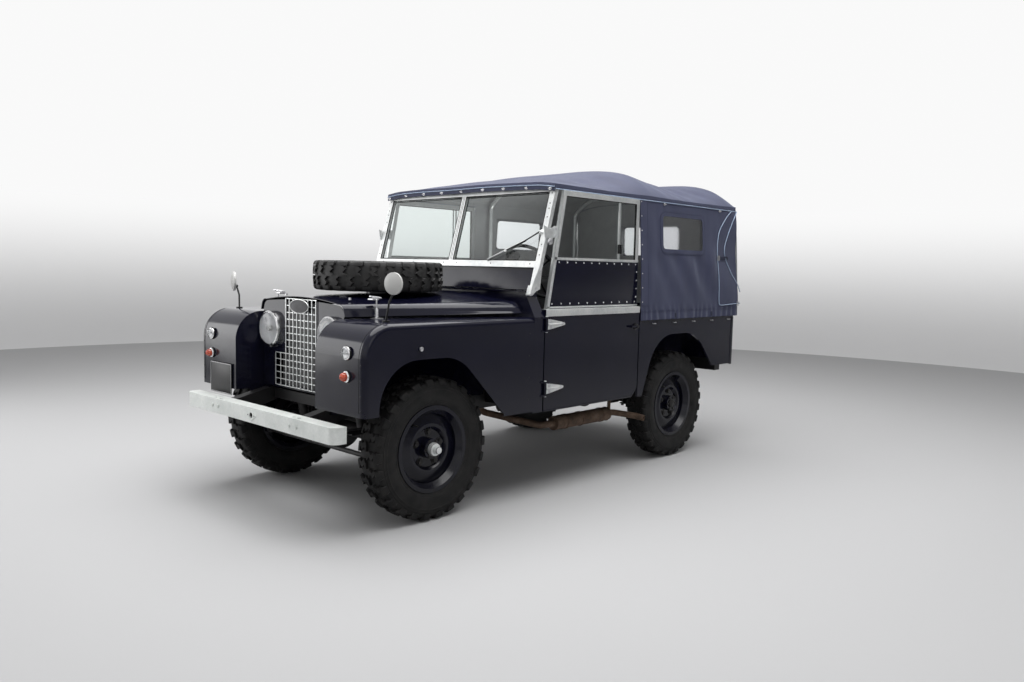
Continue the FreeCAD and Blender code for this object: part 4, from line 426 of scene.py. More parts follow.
# Copies of an object's mesh set round the Y axis, each ring from its own start angle.
def ringTree():
    tree, given = newTree("ring", Count=26, Start=0.0, Pattern=None)
    points = addNode(tree, "GeometryNodePoints", {"Count": given["Count"]}).outputs["Points"]
    step = combined(tree, "DIVIDE", 2 * math.pi, given["Count"])
    index = addNode(tree, "GeometryNodeInputIndex").outputs["Index"]
    turn = combined(tree, "MULTIPLY_ADD", index, step, given["Start"])
    angles = addNode(tree, "ShaderNodeCombineXYZ", {"Y": turn}).outputs["Vector"]
    rotation = addNode(tree, "FunctionNodeEulerToRotation", {"Euler": angles}).outputs["Rotation"]
    pattern = addNode(tree, "GeometryNodeObjectInfo", {"Object": given["Pattern"]}).outputs["Geometry"]
    return closeTree(tree, given, points, pattern, rotation)


# Thread lying in short stitches along the edges of a wire mesh.
def stitchTree():
    tree, given = newTree("stitches", Length=0.0042, Gap=0.0075, Thread=0.0011)
    curve = addNode(tree, "GeometryNodeMeshToCurve", {"Mesh": given["Geometry"]}).outputs["Curve"]
    points = addNode(tree, "GeometryNodeCurveToPoints", {"Curve": curve, "Length": given["Gap"]}, mode="LENGTH")
    thread = addNode(tree, "GeometryNodeMeshCube", {"Size": sizeFrom(tree, given["Thread"], given["Length"])})
    return closeTree(tree, given, points.outputs["Points"], thread.outputs["Mesh"], points.outputs["Rotation"])


trees = {"rivets": rivetTree(), "bolts": boltTree(), "ring": ringTree(), "stitches": stitchTree()}


def runTree(piece, treeName, settings):
    modifier = piece.modifiers.new(treeName, "NODES")
    modifier.node_group = trees[treeName]
    for item in trees[treeName].interface.items_tree:
        if item.in_out == "INPUT" and item.name in settings:
            modifier[item.identifier] = settings[item.name]
    return applied(piece)


# Rivets or bolts at (place, facing) pairs; wide is a rivet's radius or a bolt's width.
def fixings(name, places, treeName, wide, high, finish, body="body"):
    mesh = bpy.data.meshes.new(name)
    mesh.from_pydata([tuple(p) for p, out in places], [], [])
    facing = mesh.attributes.new("facing", "FLOAT_VECTOR", "POINT")
    facing.data.foreach_set("vector", [c for p, out in places for c in out])
    settings = {"Radius": wide, "Across": wide, "Height": high, "Material": finishes[finish]}
    return keep(runTree(link(name, mesh), treeName, settings), finish, body)


# Sewn lines along rows of points.
def stitches(name, rows):
    mesh = bpy.data.meshes.new(name)
    points, edges = [], []
    for row in rows:
        edges += [(len(points) + i, len(points) + i + 1) for i in range(len(row) - 1)]
        points += [tuple(p) for p in row]
    mesh.from_pydata(points, edges, [])
    piece = runTree(link(name, mesh), "stitches", {"Material": finishes["webbing"]})
    return keep(piece, "webbing", smooth=False)


# Floor and cove, light and camera; each lamp has its place, aim, size and power.
studio = {
    "reach": 12.0, "cove": 3.0, "wall": 7.0, "floorColour": (0.42, 0.42, 0.425), "wallColour": (0.74, 0.74, 0.745),
    "worldLight": 0.42, "dimSide": 0.22, "background": 0.95,
    "lamps": {"ceilingRing": ((0.2, 0.3, 5.2), (0, 0, 0.8), 6.8, 520),
              "frontPanel": ((4.3, -4.1, 1.75), (1.3, 0, 0.9), 3.4, 80),
              "sideFill": ((2.2, 6.5, 3.6), (0.2, 0, 0.9), 3.0, 20),
              "cabGlow": ((-0.35, 0.0, 1.25), (-0.35, 0.0, 3.0), 0.7, 5)},
    "place": (3.8701, 3.7647, 1.2785), "azimuth": 223.40, "pitch": -5.136, "roll": 1.262, "lens": 28.98,
}


# Mixes two shaders into an output; without a share, by what is seen directly, mirrored or through glass.
def mixTo(tree, output, first, second, share=None):
    path = addNode(tree, "ShaderNodeLightPath").outputs
    seen = path["Is Camera Ray"]
    for kind in ("Is Glossy Ray", "Is Transmission Ray"):
        seen = combined(tree, "MAXIMUM", seen, path[kind])
    if share:
        seen = combined(tree, "MULTIPLY", seen, share)
    mix = addNode(tree, "ShaderNodeMixShader", {0: seen, 1: first, 2: second})
    tree.links.new(mix.outputs[0], tree.nodes[output].inputs["Surface"])


# A matt coat; glow is how bright it looks above the cove, and the wall that the flanks mirror is dimmer.
def studioCoat(name, colour, glow=0.0):
    material, tree, point = newMaterial(name, colour, 0.9)
    speckle = addNode(tree, "ShaderNodeTexNoise", {"Scale": 3.0}).outputs["Fac"]
    dress(material, ramp(tree, speckle, {0.0: [c * 0.97 for c in colour], 1.0: [c * 1.03 for c in colour]}))
    if glow:
        parts = addNode(tree, "ShaderNodeSeparateXYZ", {0: point}).outputs
        rise = addNode(tree, "ShaderNodeMapRange", {"Value": parts["Z"], "From Max": studio["cove"] * 0.8},
                       interpolation_type="SMOOTHSTEP").outputs["Result"]
        dim = levels(tree, combined(tree, "SUBTRACT", parts["X"], parts["Y"]), glow * studio["dimSide"], glow,
                     -studio["reach"], 0.0)
        glossy = addNode(tree, "ShaderNodeLightPath").outputs["Is Glossy Ray"]
        strength = addNode(tree, "ShaderNodeMix", {0: glossy, 2: glow, 3: dim}).outputs[0]
        light = addNode(tree, "ShaderNodeEmission", {"Strength": strength}).outputs[0]
        mixTo(tree, "Material Output", tree.nodes["Principled BSDF"].outputs[0], light, rise)
    return material


# A sheet turned round the Z axis from (height, radius) points.
def turnedSheet(name, profile, *coat):
    bm = bmesh.new()
    addLathe(bm, profile, (0, 0, 0), (0, 0, 1), 96)
    sheet = solidMesh(name, bm)
    sheet.data.materials.append(studioCoat(name, *coat))
    sheet.data.shade_smooth()


def makeStage():
    c = studio
    flat = c["reach"] - c["cove"]
    turnedSheet("studioFloor", [(0.0, 0.0), (0.0, 3.0), (0.0, flat)], c["floorColour"])
    sweep = [(c["cove"] * (1 - math.cos(a)), flat + c["cove"] * math.sin(a)) for a in spread(0, math.pi / 2, 9)]
    turnedSheet("studioWall", sweep + [(c["wall"], c["reach"])], c["wallColour"], c["background"])
    world = bpy.data.worlds.new("studioWorld")
    bpy.context.scene.world = world
    world.use_nodes = True
    tree = world.node_tree
    soft = tree.nodes["Background"]
    soft.inputs["Color"].default_value = (1, 1, 1, 1)
    soft.inputs["Strength"].default_value = c["worldLight"]
    bright = addNode(tree, "ShaderNodeBackground", {"Strength": c["background"]})
    mixTo(tree, "World Output", soft.outputs[0], bright.outputs[0])
    for name, (place, aim, size, power) in c["lamps"].items():
        light = bpy.data.lights.new(name, "AREA")
        light.shape, light.size, light.energy = "DISK", size, power
        lamp = link(name, light)
        lamp.location = place
        lamp.visible_camera = lamp.visible_transmission = False
        lamp.rotation_euler = (Vector(aim) - Vector(place)).to_track_quat("-Z", "Y").to_euler()


def makeCamera():
    c = studio
    azimuth, pitch, roll = (math.radians(c[key]) for key in ("azimuth", "pitch", "roll"))
    ahead = Vector((math.cos(pitch) * math.cos(azimuth), math.cos(pitch) * math.sin(azimuth), math.sin(pitch)))
    level = ahead.cross(Vector((0, 0, 1))).normalized()
    upright = level.cross(ahead)
    right = math.cos(roll) * level + math.sin(roll) * upright
    up = -math.sin(roll) * level + math.cos(roll) * upright
    camera = link("camera", bpy.data.cameras.new("camera"))
    camera.data.lens = c["lens"]
    camera.data.sensor_width = 36
    camera.matrix_world = Matrix.Translation(c["place"]) @ Matrix((right, up, -ahead)).transposed().to_4x4()
    bpy.context.scene.camera = camera


makeStage()
makeCamera()
bpy.context.scene.view_settings.view_transform = "Standard"
print("stage, lights and camera set")


# Tyres: a carcass turned from its profile, and the bar tread repeated round it.
tyres = {
    "radius": 0.363, "lugDepth": 0.0125, "pitches": 26, "flat": 0.062, "round": 0.018, "bend": 0.026, "most": 1.45,
    "track": 0.635, "axles": {"front": 1.1875, "rear": -0.9965}, "spare": (0.9975, 0.0, 1.212),
    "slant": [(0.004, 0.34), (0.02, 0.10), (0.036, 0.30), (0.052, 0.12)],
    "shoulder": [(0.0545, 0.16, 1.06, 1), (0.064, 0.18, 1.1, 1), (0.076, 0.2, 1.06, 1), (0.088, 0.2, 1.0, 0.8),
                 (0.104, 0.22, 0.9, 0.35)],
    "wall": [(0.0605, 0.2213), (0.0655, 0.2233), (0.0685, 0.229), (0.0700, 0.234), (0.0722, 0.237),
             (0.0722, 0.2405), (0.0742, 0.2415), (0.0782, 0.252), (0.0808, 0.268), (0.0815, 0.284),
             (0.0806, 0.299), (0.0818, 0.3005), (0.0818, 0.3035), (0.0800, 0.3050), (0.0785, 0.314),
             (0.0795, 0.3155), (0.0793, 0.318), (0.0775, 0.3195), (0.0762, 0.328), (0.0725, 0.3385),
             (0.066, 0.343), (0.05, 0.348), (0.02, 0.3505)],
}


# A point of the unrolled tread: s metres round the tyre, t across it, lift above the base.
def treadPlace(s, t, lift):
    c = tyres
    flat = min(abs(t), c["flat"])
    over = max(0.0, abs(t) - c["flat"])
    bend = min(over / c["bend"], c["most"])
    y = flat + c["round"] * math.sin(bend) + lift * math.sin(bend) * 0.35
    r = c["radius"] - c["lugDepth"] - 0.0035 * (flat / c["flat"]) ** 2 - c["round"] * (1 - math.cos(bend))
    r += lift * max(math.cos(bend), 0.12) - max(0.0, over - c["bend"] * c["most"])
    angle = s / c["radius"]
    return Vector((r * math.sin(angle), math.copysign(y, t), r * math.cos(angle)))


# A tread block with slanted walls, from stations (t, low s, high s, height).
def addLug(bm, stations, draft=0.003, sunk=-0.001):
    rows = []
    for t, low, high, lift in stations:
        row = ((low - draft, sunk), (low, lift), ((low + high) / 2, lift), (high, lift), (high + draft, sunk))
        rows.append([bm.verts.new(treadPlace(s, t, h)) for s, h in row])
    for a, b in zip(rows, rows[1:]):
        for k in range(4):
            bm.faces.new((a[k], a[k + 1], b[k + 1], b[k]))
    bm.faces.new(rows[0][::-1])
    bm.faces.new(rows[-1])


# One pitch of the bar tread: two chevron halves and two shoulder blocks.
def treadPattern():
    c = tyres
    bm = bmesh.new()
    pitch = 2 * math.pi * c["radius"] / c["pitches"]
    for side, shift in ((1, 0.0), (-1, pitch / 2)):
        for rows in ([(t, s, 0.62, 1) for t, s in c["slant"]], c["shoulder"]):
            addLug(bm, [(side * t, shift + pitch * s, shift + pitch * (s + 0.5 * wide), c["lugDepth"] * deep)
                        for t, s, wide, deep in rows])
    return solidMesh("treadPattern", bm)


def tyreCarcass(name):
    wall = tyres["wall"]
    bead = wall[0][1]
    bm = bmesh.new()
    for profile in (wall + [(-y, r) for y, r in wall[::-1]], [(-wall[0][0], bead), (0, bead + 0.004), wall[0]]):
        addLathe(bm, profile, (0, 0, 0), (0, 1, 0), 104)
    bmesh.ops.remove_doubles(bm, verts=bm.verts, dist=0.0002)
    return solidMesh(name, bm)


def makeTyres():
    c = tyres
    pattern = treadPattern()
    spots = [(f"tyre_{end}_{hand}", Matrix.Translation((x, side * c["track"], c["radius"])), f"wheel_{end}_{hand}",
              "tyreRubber") for end, x in c["axles"].items() for hand, side in (("left", 1), ("right", -1))]
    flat = Matrix.Translation(c["spare"]) @ Matrix.Rotation(math.radians(90), 4, "X")
    # The spare gets the lighter rubber, which is painted light on its upward face.
    spots.append(("spare_tyre", flat, "bonnet_body", "spareRubber"))
    for turn, (name, place, body, finish) in enumerate(spots):
        wall = tyreCarcass(name + "_wall")
        lugs = runTree(link(name + "_lugs", bpy.data.meshes.new(name)), "ring", {
            "Count": c["pitches"], "Start": turn * 0.4, "Pattern": pattern, "Material": finishes[finish]})
        for piece in (wall, lugs):
            piece.data.transform(place)
            keep(piece, finish, body)
        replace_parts(wall, name)
    bpy.data.objects.remove(pattern)


makeTyres()
print("tyres made")


# Canvas hood: one stretched sheet over the hoops with both side curtains, and a hung rear curtain.
hood = {
    "front": 0.3515, "rear": -1.6785, "half": 0.742, "cant": 1.745, "square": 5.0, "hem": 0.958, "flare": 0.043,
    "sideFront": -0.4645, "most": 0.7985,
    "crowns": [(0.3515, 1.765), (0.2015, 1.797), (0.0315, 1.833), (-0.1725, 1.866), (-0.3625, 1.902),
               (-0.5125, 1.924), (-0.5925, 1.928), (-0.6825, 1.92), (-0.8325, 1.896), (-1.0915, 1.878),
               (-1.3505, 1.894), (-1.5005, 1.910), (-1.5905, 1.914), (-1.6345, 1.896), (-1.6625, 1.866),
               (-1.6785, 1.806)],
    "bays": [(0.34, -0.59), (-0.6, -1.585)], "window": (-0.7145, -1.2105, 1.413, 1.634),
    "backWindow": (-0.26, 0.26, 1.39, 1.62), "valance": 0.028, "gauge": 0.0022,
}


def drift(*place):
    return noise.noise(Vector(place))


# Height of the ridge, smooth between the stations.
def crownAt(x):
    c = hood["crowns"]
    if x >= c[0][0]:
        return c[0][1]
    for i in range(len(c) - 1):
        (x0, z0), (x1, z1) = c[i], c[i + 1]
        if x >= x1:
            xa, za = c[i - 1] if i else (2 * x0 - x1, 2 * z0 - z1)
            xb, zb = c[i + 2] if i + 2 < len(c) else (2 * x1 - x0, 2 * z1 - z0)
            m0 = (z1 - za) / (x1 - xa) * (x1 - x0)
            m1 = (zb - z0) / (xb - x0) * (x1 - x0)
            t = (x - x0) / (x1 - x0)
            return ((2 * t ** 3 - 3 * t * t + 1) * z0 + (t ** 3 - 2 * t * t + t) * m0
                    + (3 * t * t - 2 * t ** 3) * z1 + (t ** 3 - t * t) * m1)
    return c[-1][1]


# The roof's height over a station; share runs from -1 at the right cant rail to 1 at the left.
def roofHeight(x, share):
    return hood["cant"] + (crownAt(x) - hood["cant"]) * (1 - abs(share) ** hood["square"])


# A point of the roof, slack between the hoops, with long creases from their shoulders and puckers at the piping.
def roofPoint(x, share):
    between = 0.0
    for ahead, behind in hood["bays"]:
        if behind <= x <= ahead:
            between = math.sin(math.pi * (ahead - x) / (ahead - behind))
    inside = 1 - abs(share) ** 6
    shoulder = math.exp(-((abs(share) - 0.84) / 0.12) ** 2)
    z = roofHeight(x, share) - between * (0.006 * (1 - share * share) + 0.02 * shoulder)
    z += drift(x * 5.0, share * 2.0, 1.7) * 0.005 * inside
    slant = math.sin((x * 1.0 + abs(share) * 0.55) * 31 + 3.0 * drift(x * 2.2, share * 3, 9.0))
    z += 0.0026 * slant * shoulder * (0.4 + between)
    z += 0.0012 * math.sin(x * 120 + 4 * drift(x * 9, share, 3)) * max(0.0, abs(share) - 0.9) * 8 * inside
    return Vector((x, hood["half"] * share * (1 - 0.006 * between * shoulder), z + 0.0015))


# A point of a side curtain, drop metres below the cant rail and pushed out by lift: tension folds fan down and
# forward from the rear buckle, the hem gathers, and the cloth is calm at the window and the front strip.
def sidePoint(x, drop, side, lift=0.0):
    c = hood
    t = drop / (c["cant"] - c["hem"])
    high = c["cant"] - drop
    seed = 3.0 if side > 0 else 11.0
    swell = math.sin(math.pi * min(1.0, t * 1.05))
    lean = (x + 0.45 * t) * 21 + 2.6 * drift(x * 2.1, t * 1.7, seed)
    fold = 0.0066 * math.sin(lean) * swell * max(0.0, min(1.0, (t - 0.30) / 0.25))
    fold += drift(x * 6.0 + 0.8 * t, t * 1.6, seed) * 0.010 * swell
    fold += drift(x * 13, t * 4.1, seed + 5) * 0.0034 * swell
    fold += 0.0048 * max(0.0, (t - 0.86) / 0.14) * math.sin(x * 95 + 5 * drift(x * 6, t * 3, seed))
    fold += 0.012 * max(0.0, (-1.36 - x) / 0.31) * math.sin(math.pi * t) * math.sin(t * 9 + 0.6)
    w = c["window"]
    calm = min(1.0, 0.12 + max(w[1] - x, x - w[0], w[2] - high, high - w[3], 0.0) / 0.07)
    if x > c["sideFront"] - 0.09:
        calm *= max(0.0, (c["sideFront"] - x) / 0.09)
    slant = -0.026 * t * max(0.0, (c["sideFront"] - x) / (c["sideFront"] - c["rear"])) ** 4
    y = c["half"] + c["flare"] * t + fold * calm + 0.004 * swell - (0.0016 if drop > c["valance"] else 0)
    return Vector((x + slant, side * (min(y, c["most"]) + lift), high))


# A point of the rear curtain, which bellies out a little and gathers at its foot.
def rearPoint(share, drop, lift=0.0):
    c = hood
    high = roofHeight(c["rear"], share) - 0.002 - (roofHeight(c["rear"], share) - 1.0) * drop
    belly = math.sin(math.pi * min(1, drop * 1.02))
    w, near = c["backWindow"], 0.05
    inside = w[0] - near < share * c["half"] < w[1] + near and w[2] - near < high < w[3] + near
    x = c["rear"] + 0.001 - 0.012 * belly
    x -= 0.007 * drift(share * 5.2, drop * 1.6, 8.4) * belly * (0.25 if inside else 1.0)
    x -= 0.0035 * math.sin(share * 38 + 2.5 * drift(share * 3, drop * 3, 2)) * max(0, drop - 0.55) * 2
    return Vector((x - 0.02 * drop - lift, (c["half"] + 0.001 + c["flare"] * 0.9 * drop) * share, high))


# A cloth grid with its UV map in metres; leaveOut(row, column) opens a face.
def sheetMesh(name, grid, lengths, leaveOut=None, flip=False):
    bm = bmesh.new()
    layer = bm.loops.layers.uv.new("cloth")
    verts = [[bm.verts.new(p) for p in row] for row in grid]
    for i in range(len(grid) - 1):
        for j in range(len(grid[0]) - 1):
            if leaveOut and leaveOut(i, j):
                continue
            cell = ((i, j), (i, j + 1), (i + 1, j + 1), (i + 1, j))
            face = bm.faces.new([verts[a][b] for a, b in cell])
            for loop, (a, b) in zip(face.loops, cell):
                loop[layer].uv = (lengths[0][a], lengths[1][b])
    for v in [v for v in bm.verts if not v.link_faces]:
        bm.verts.remove(v)
    piece = solidMesh(name, bm, turnOut=False)
    if flip:
        piece.data.flip_normals()
    return piece


# Gives a sheet its gauge as plain mesh; a lined one is thickened inwards and pale inside.
def thicken(piece, gauge, offset=-1.0, lined=False):
    modifier = piece.modifiers.new("gauge", "SOLIDIFY")
    if lined:
        for finish in ("canvas", "lining"):
            piece.data.materials.append(finishes[finish])
        modifier.material_offset = 1
    modifier.thickness = gauge
    modifier.offset = offset
    return keep(applied(piece), "canvas")


def makeHoodTop():
    c = hood
    w, reach = c["window"], c["cant"] - c["hem"]
    columns = sorted({round(x, 5) for x in spread(c["front"], c["rear"], 168)} | {w[0], w[1], c["sideFront"]},
                     reverse=True)
    drops = sorted({round(drop, 5) for drop in spread(0, reach, 60)[1:] + [c["cant"] - w[3], c["cant"] - w[2]]}
                   | {c["valance"], c["valance"] + 0.0015})
    shares = [(math.sin(math.radians(-90 + 2 * k)) - 1 + 2 * k / 90) * 0.5 for k in range(91)]
    rows = [(-1, d) for d in drops[::-1]] + [(s, None) for s in shares] + [(1, d) for d in drops]
    grid = [[roofPoint(x, value) if drop is None else sidePoint(x, drop, value) for x in columns]
            for value, drop in rows]
    along = [0.0]
    for a, b in zip(grid, grid[1:]):
        along.append(along[-1] + (b[80] - a[80]).length)

    def leaveOut(i, j):
        low, high = sorted((rows[i][1] or 0, rows[i + 1][1] or 0), reverse=True)
        if low == 0:
            return False
        if columns[j + 1] > c["sideFront"] - 1e-5 and low > c["valance"] + 1e-6:
            return True
        return (columns[j] <= w[0] + 1e-6 and columns[j + 1] >= w[1] - 1e-6
                and c["cant"] - low >= w[2] - 2e-5 and c["cant"] - high <= w[3] + 2e-5)

    piece = sheetMesh("hoodTop", grid, (along, [-x for x in columns]), leaveOut, flip=True)
    thicken(piece, c["gauge"], lined=True)
    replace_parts(piece, "hood_roof", "hood_sides")


def makeHoodRear():
    c = hood
    w = c["backWindow"]
    shares = sorted({-1 + 2 * k / 104 for k in range(105)} | {w[0] / c["half"], w[1] / c["half"]})
    drops = spread(0, 1, 56)
    grid = [[rearPoint(s, d) for s in shares] for d in drops]

    def leaveOut(i, j):
        middle = (grid[i][j] + grid[i + 1][j + 1]) / 2
        return w[0] < middle.y < w[1] and w[2] < middle.z < w[3]

    piece = sheetMesh("hoodRear", grid, ([d * 0.8 for d in drops], [s * c["half"] for s in shares]), leaveOut)
    thicken(piece, c["gauge"], lined=True)
    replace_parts(piece, "hood_rear")


makeHoodTop()
makeHoodRear()
print("hood sheets made")


# Hood trimmings: piping, riveted strip, window borders, hem bands, corner flaps, straps, turnbuckles.
trim = {
    "piping": 0.0032, "turnbuckles": [-0.722, -0.55, -0.372, -0.196, -0.015, 0.172, 0.347, 0.53, 0.71],
    "sideTurnbuckles": [-0.737, -1.445], "border": 0.033, "seam": 0.027, "corner": 0.026,
    "flapEdge": [(-1.612, 1.716), (-1.52, 1.655), (-1.43, 1.56), (-1.405, 1.47), (-1.402, 1.373), (-1.408, 1.22),
                 (-1.416, 1.075), (-1.424, 1.047), (-1.447, 1.038), (-1.58, 1.043), (-1.70, 1.048)],
    "flapFold": [(-1.682, 1.716), (-1.60, 1.62), (-1.53, 1.51), (-1.505, 1.43), (-1.53, 1.36), (-1.60, 1.27),
                 (-1.672, 1.19), (-1.70, 1.13)], "flapBack": -1.676,
    "strap": 0.011, "buckles": [(-1.404, 1.373), (-1.66, 1.045)], "tieLoops": [-0.861, -1.314],
    "rollStraps": (-0.44, 0.44), "headerDrops": (0.0, 0.002, 0.006, 0.014, 0.024, 0.034, 0.042),
}


# Even points along a Catmull-Rom curve through the given points.
def smoothRun(points, step=0.012):
    path = []
    for i in range(len(points) - 1):
        a, b = points[i], points[i + 1]
        before, after = points[max(i - 1, 0)], points[min(i + 2, len(points) - 1)]
        pieces = max(2, int(math.dist(a, b) / step))
        for t in (k / pieces for k in range(pieces)):
            path.append(tuple(0.5 * (2 * a[n] + (b[n] - before[n]) * t
                              + (2 * before[n] - 5 * a[n] + 4 * b[n] - after[n]) * t * t
                              + (3 * a[n] - before[n] - 3 * b[n] + after[n]) * t ** 3) for n in range(2)))
    return path + [tuple(points[-1])]


# A line part of the way from one line of points to another.
def midway(lineA, lineB, share):
    return [tuple(a + (b - a) * share for a, b in zip(p, q)) for p, q in zip(lineA, lineB)]


# A doubled strip of canvas laid on a curtain between two lines; place puts a line's points on it.
def laidStrip(name, lineA, lineB, place, flip=False, closed=False):
    grid = [place(midway(lineA, lineB, share)) for share in (0, 0.5, 1)]
    if closed:
        grid = [row + row[:1] for row in grid]
    run = [0.0]
    for a, b in zip(grid[0], grid[0][1:]):
        run.append(run[-1] + (b - a).length)
    wide = (grid[0][0] - grid[2][0]).length
    thicken(sheetMesh(name, grid, ([0, wide / 2, wide], run), flip=flip), 0.0016, offset=0.0)


def roundedLoop(x0, x1, z0, z1, corner):
    points, dense = [], []
    for cx, cz, start in ((x1 - corner, z1 - corner, 0), (x0 + corner, z1 - corner, 90),
                          (x0 + corner, z0 + corner, 180), (x1 - corner, z0 + corner, 270)):
        points += [(cx + corner * math.cos(math.radians(start + a)), cz + corner * math.sin(math.radians(start + a)))
                   for a in range(0, 91, 15)]
    for a, b in zip(points, points[1:] + points[:1]):
        pieces = max(1, int(math.dist(a, b) / 0.02))
        dense += [(a[0] + (b[0] - a[0]) * k / pieces, a[1] + (b[1] - a[1]) * k / pieces) for k in range(pieces)]
    return dense


# The loop just inside a window's edge, and a function that pushes it outwards.
def windowLoop(w):
    gap = 0.004
    inner = roundedLoop(min(w[:2]) + gap, max(w[:2]) - gap, w[2] + gap, w[3] - gap, trim["corner"])
    centre = Vector(((w[0] + w[1]) / 2, (w[2] + w[3]) / 2))

    def grown(reach):
        result = []
        for before, here, after in zip(inner[-1:] + inner, inner, inner[1:] + inner[:1]):
            out = Vector((after[1] - before[1], before[0] - after[0])).normalized()
            if out.dot(Vector(here) - centre) < 0:
                out = -out
            result.append(tuple(Vector(here) + out * reach))
        return result

    return inner, grown


# An oval zinc plate with a raised eyelet and a turned key.
def turnbuckle(bm, point, out, along):
    point, out, along = Vector(point), Vector(out), Vector(along)
    across = out.cross(along)
    oval = [point + along * 0.012 * math.cos(a) + across * 0.0075 * math.sin(a) for a in circle(12)]
    addPlate(bm, oval, out, 0.0016, 0.0004)
    addLathe(bm, [(0.0014, 0.0048), (0.0042, 0.0042), (0.0052, 0.0)], point, out, 14)
    key = {-0.0085: 0.0026, -0.004: 0.0036, 0: 0.0042, 0.004: 0.0036, 0.0085: 0.0026}
    addTube(bm, [point + out * 0.0085 + along * u for u in key], list(key.values()), 8)


# A strap's wire frame with its bar and tongue.
def buckle(bm, point, out, along):
    point, out, along = Vector(point), Vector(out), Vector(along)
    across = out.cross(along) * (trim["strap"] + 0.004)
    middle = point + out * 0.004
    addTube(bm, [middle + along * a * 0.013 + across * b for a, b in ((-1, -1), (1, -1), (1, 1), (-1, 1))], 0.0019, 8,
            True)
    addTube(bm, [middle - across, middle + across], 0.0016, 8)
    addTube(bm, [point + out * 0.0045, point + out * 0.0062 + along * 0.013], 0.0013, 6)


def makeSideTrim(side):
    c, t = hood, trim
    word, out = "Left" if side > 0 else "Right", (0, side, 0)
    edge = c["cant"] - c["valance"]

    def laid(line, lift):
        return [sidePoint(x, c["cant"] - z, side, lift) for x, z in line]

    def laidAt(lift):
        return lambda line: laid(line, lift)

    flap = smoothRun(t["flapEdge"])
    runs = (([(x, edge) for x in spread(c["front"], c["rear"], 150)], 0.0022), (flap, 0.0042),
            (smoothRun(t["flapFold"]), 0.0068))
    built("hoodPiping" + word, "piping", [(addTube, laid(*run), t["piping"], 8) for run in runs])
    heights = spread(edge - 0.004, 1.052, 40)
    laidStrip("hoodStrip" + word, [(c["sideFront"] - 0.001, z) for z in heights], [(-0.545, z) for z in heights],
              laidAt(0.0018), side > 0)
    spots = laid([(-0.4765, z) for z in spread(1.705, 1.075, 7)], 0.003)
    fixings("stripRivets" + word, [(p, out) for p in spots], "rivets", 0.0042, 0.0022, "brightSteel")
    inner, grown = windowLoop(c["window"])
    laidStrip("windowBorder" + word, inner, grown(t["border"]), laidAt(0.0016), side < 0, True)
    xs = spread(c["sideFront"] - 0.012, -1.674, 130)
    band = [[(x, z) for x in xs] for z in (1.022, c["hem"] + 0.003)]
    laidStrip("hemBand" + word, *band, laidAt(0.0018), side < 0)
    back = [(t["flapBack"], z) for z in spread(flap[0][1], flap[-1][1], len(flap) - 1)]
    grid = [laid(midway(flap, back, share), 0.0030) for share in spread(0, 1, 4)]
    piece = sheetMesh("cornerFlap" + word, grid, (spread(0, 0.24, 4), [0.012 * k for k in range(len(flap))]),
                      flip=side > 0)
    thicken(piece, 0.0016, offset=0.0)
    strap = laid([(-1.392 - 0.165 * i / 10, 1.373 + 0.004 * math.sin(i)) for i in range(11)], 0.0075)
    loops = [(addPlate, laid([(u, z) for z, u in corners(0.998, 0.966, x - 0.011, x + 0.011)], 0.004), out, 0.003)
             for x in t["tieLoops"]]
    built("hoodStraps" + word, "webbing", ribbon(strap, Vector((0, 0, t["strap"])), out, 0.0022) + loops, weld=True)
    built("hoodBuckles" + word, "brightSteel", [(buckle, p, out, (1, 0, 0)) for p in laid(t["buckles"], 0.0082)])
    places = laid([(x, edge - 0.012) for x in t["sideTurnbuckles"]], 0.003)
    built("sideTurnbuckles" + word, "brightSteel", [(turnbuckle, p, out, (1, 0, 0)) for p in places])
    seam = grown(t["seam"])
    lines = [[(-0.538, z) for z in heights], [(x, 1.016) for x in xs], [(x, 1.008) for x in xs],
             [(x, edge + 0.008) for x in spread(0.34, -1.66, 150)], seam + seam[:1]]
    stitches("hoodStitches" + word, [laid(line, 0.0032) for line in lines])


# The front flap over the windscreen's top rail.
def makeHeader():
    c, t = hood, trim
    shares = spread(-1, 1, 80)

    def flap(share, drop, lift=0.0):
        p = roofPoint(c["front"], share)
        wave = 0.0014 * math.sin(share * 60 + 3 * math.sin(share * 9)) * drop / 0.04
        roll = 0.004 * math.sin(min(1, drop / 0.02) * math.pi / 2)
        return Vector((c["front"] + 0.0015 + roll - 0.06 * drop + wave + lift, p.y, p.z - drop))

    grid = [[flap(s, d) for s in shares] for d in t["headerDrops"]]
    thicken(sheetMesh("headerFlap", grid, (t["headerDrops"], [s * c["half"] for s in shares])), c["gauge"])
    built("headerPiping", "piping", [(addTube, [flap(s, 0.018, 0.0022) for s in shares], t["piping"], 8)])
    built("headerTurnbuckles", "brightSteel", [(turnbuckle, flap(y / c["half"], 0.031, 0.0015), (1, 0, 0), (0, 1, 0))
                                               for y in t["turnbuckles"]])
    stitches("headerStitches", [[flap(s, 0.038, 0.0015) for s in shares]])


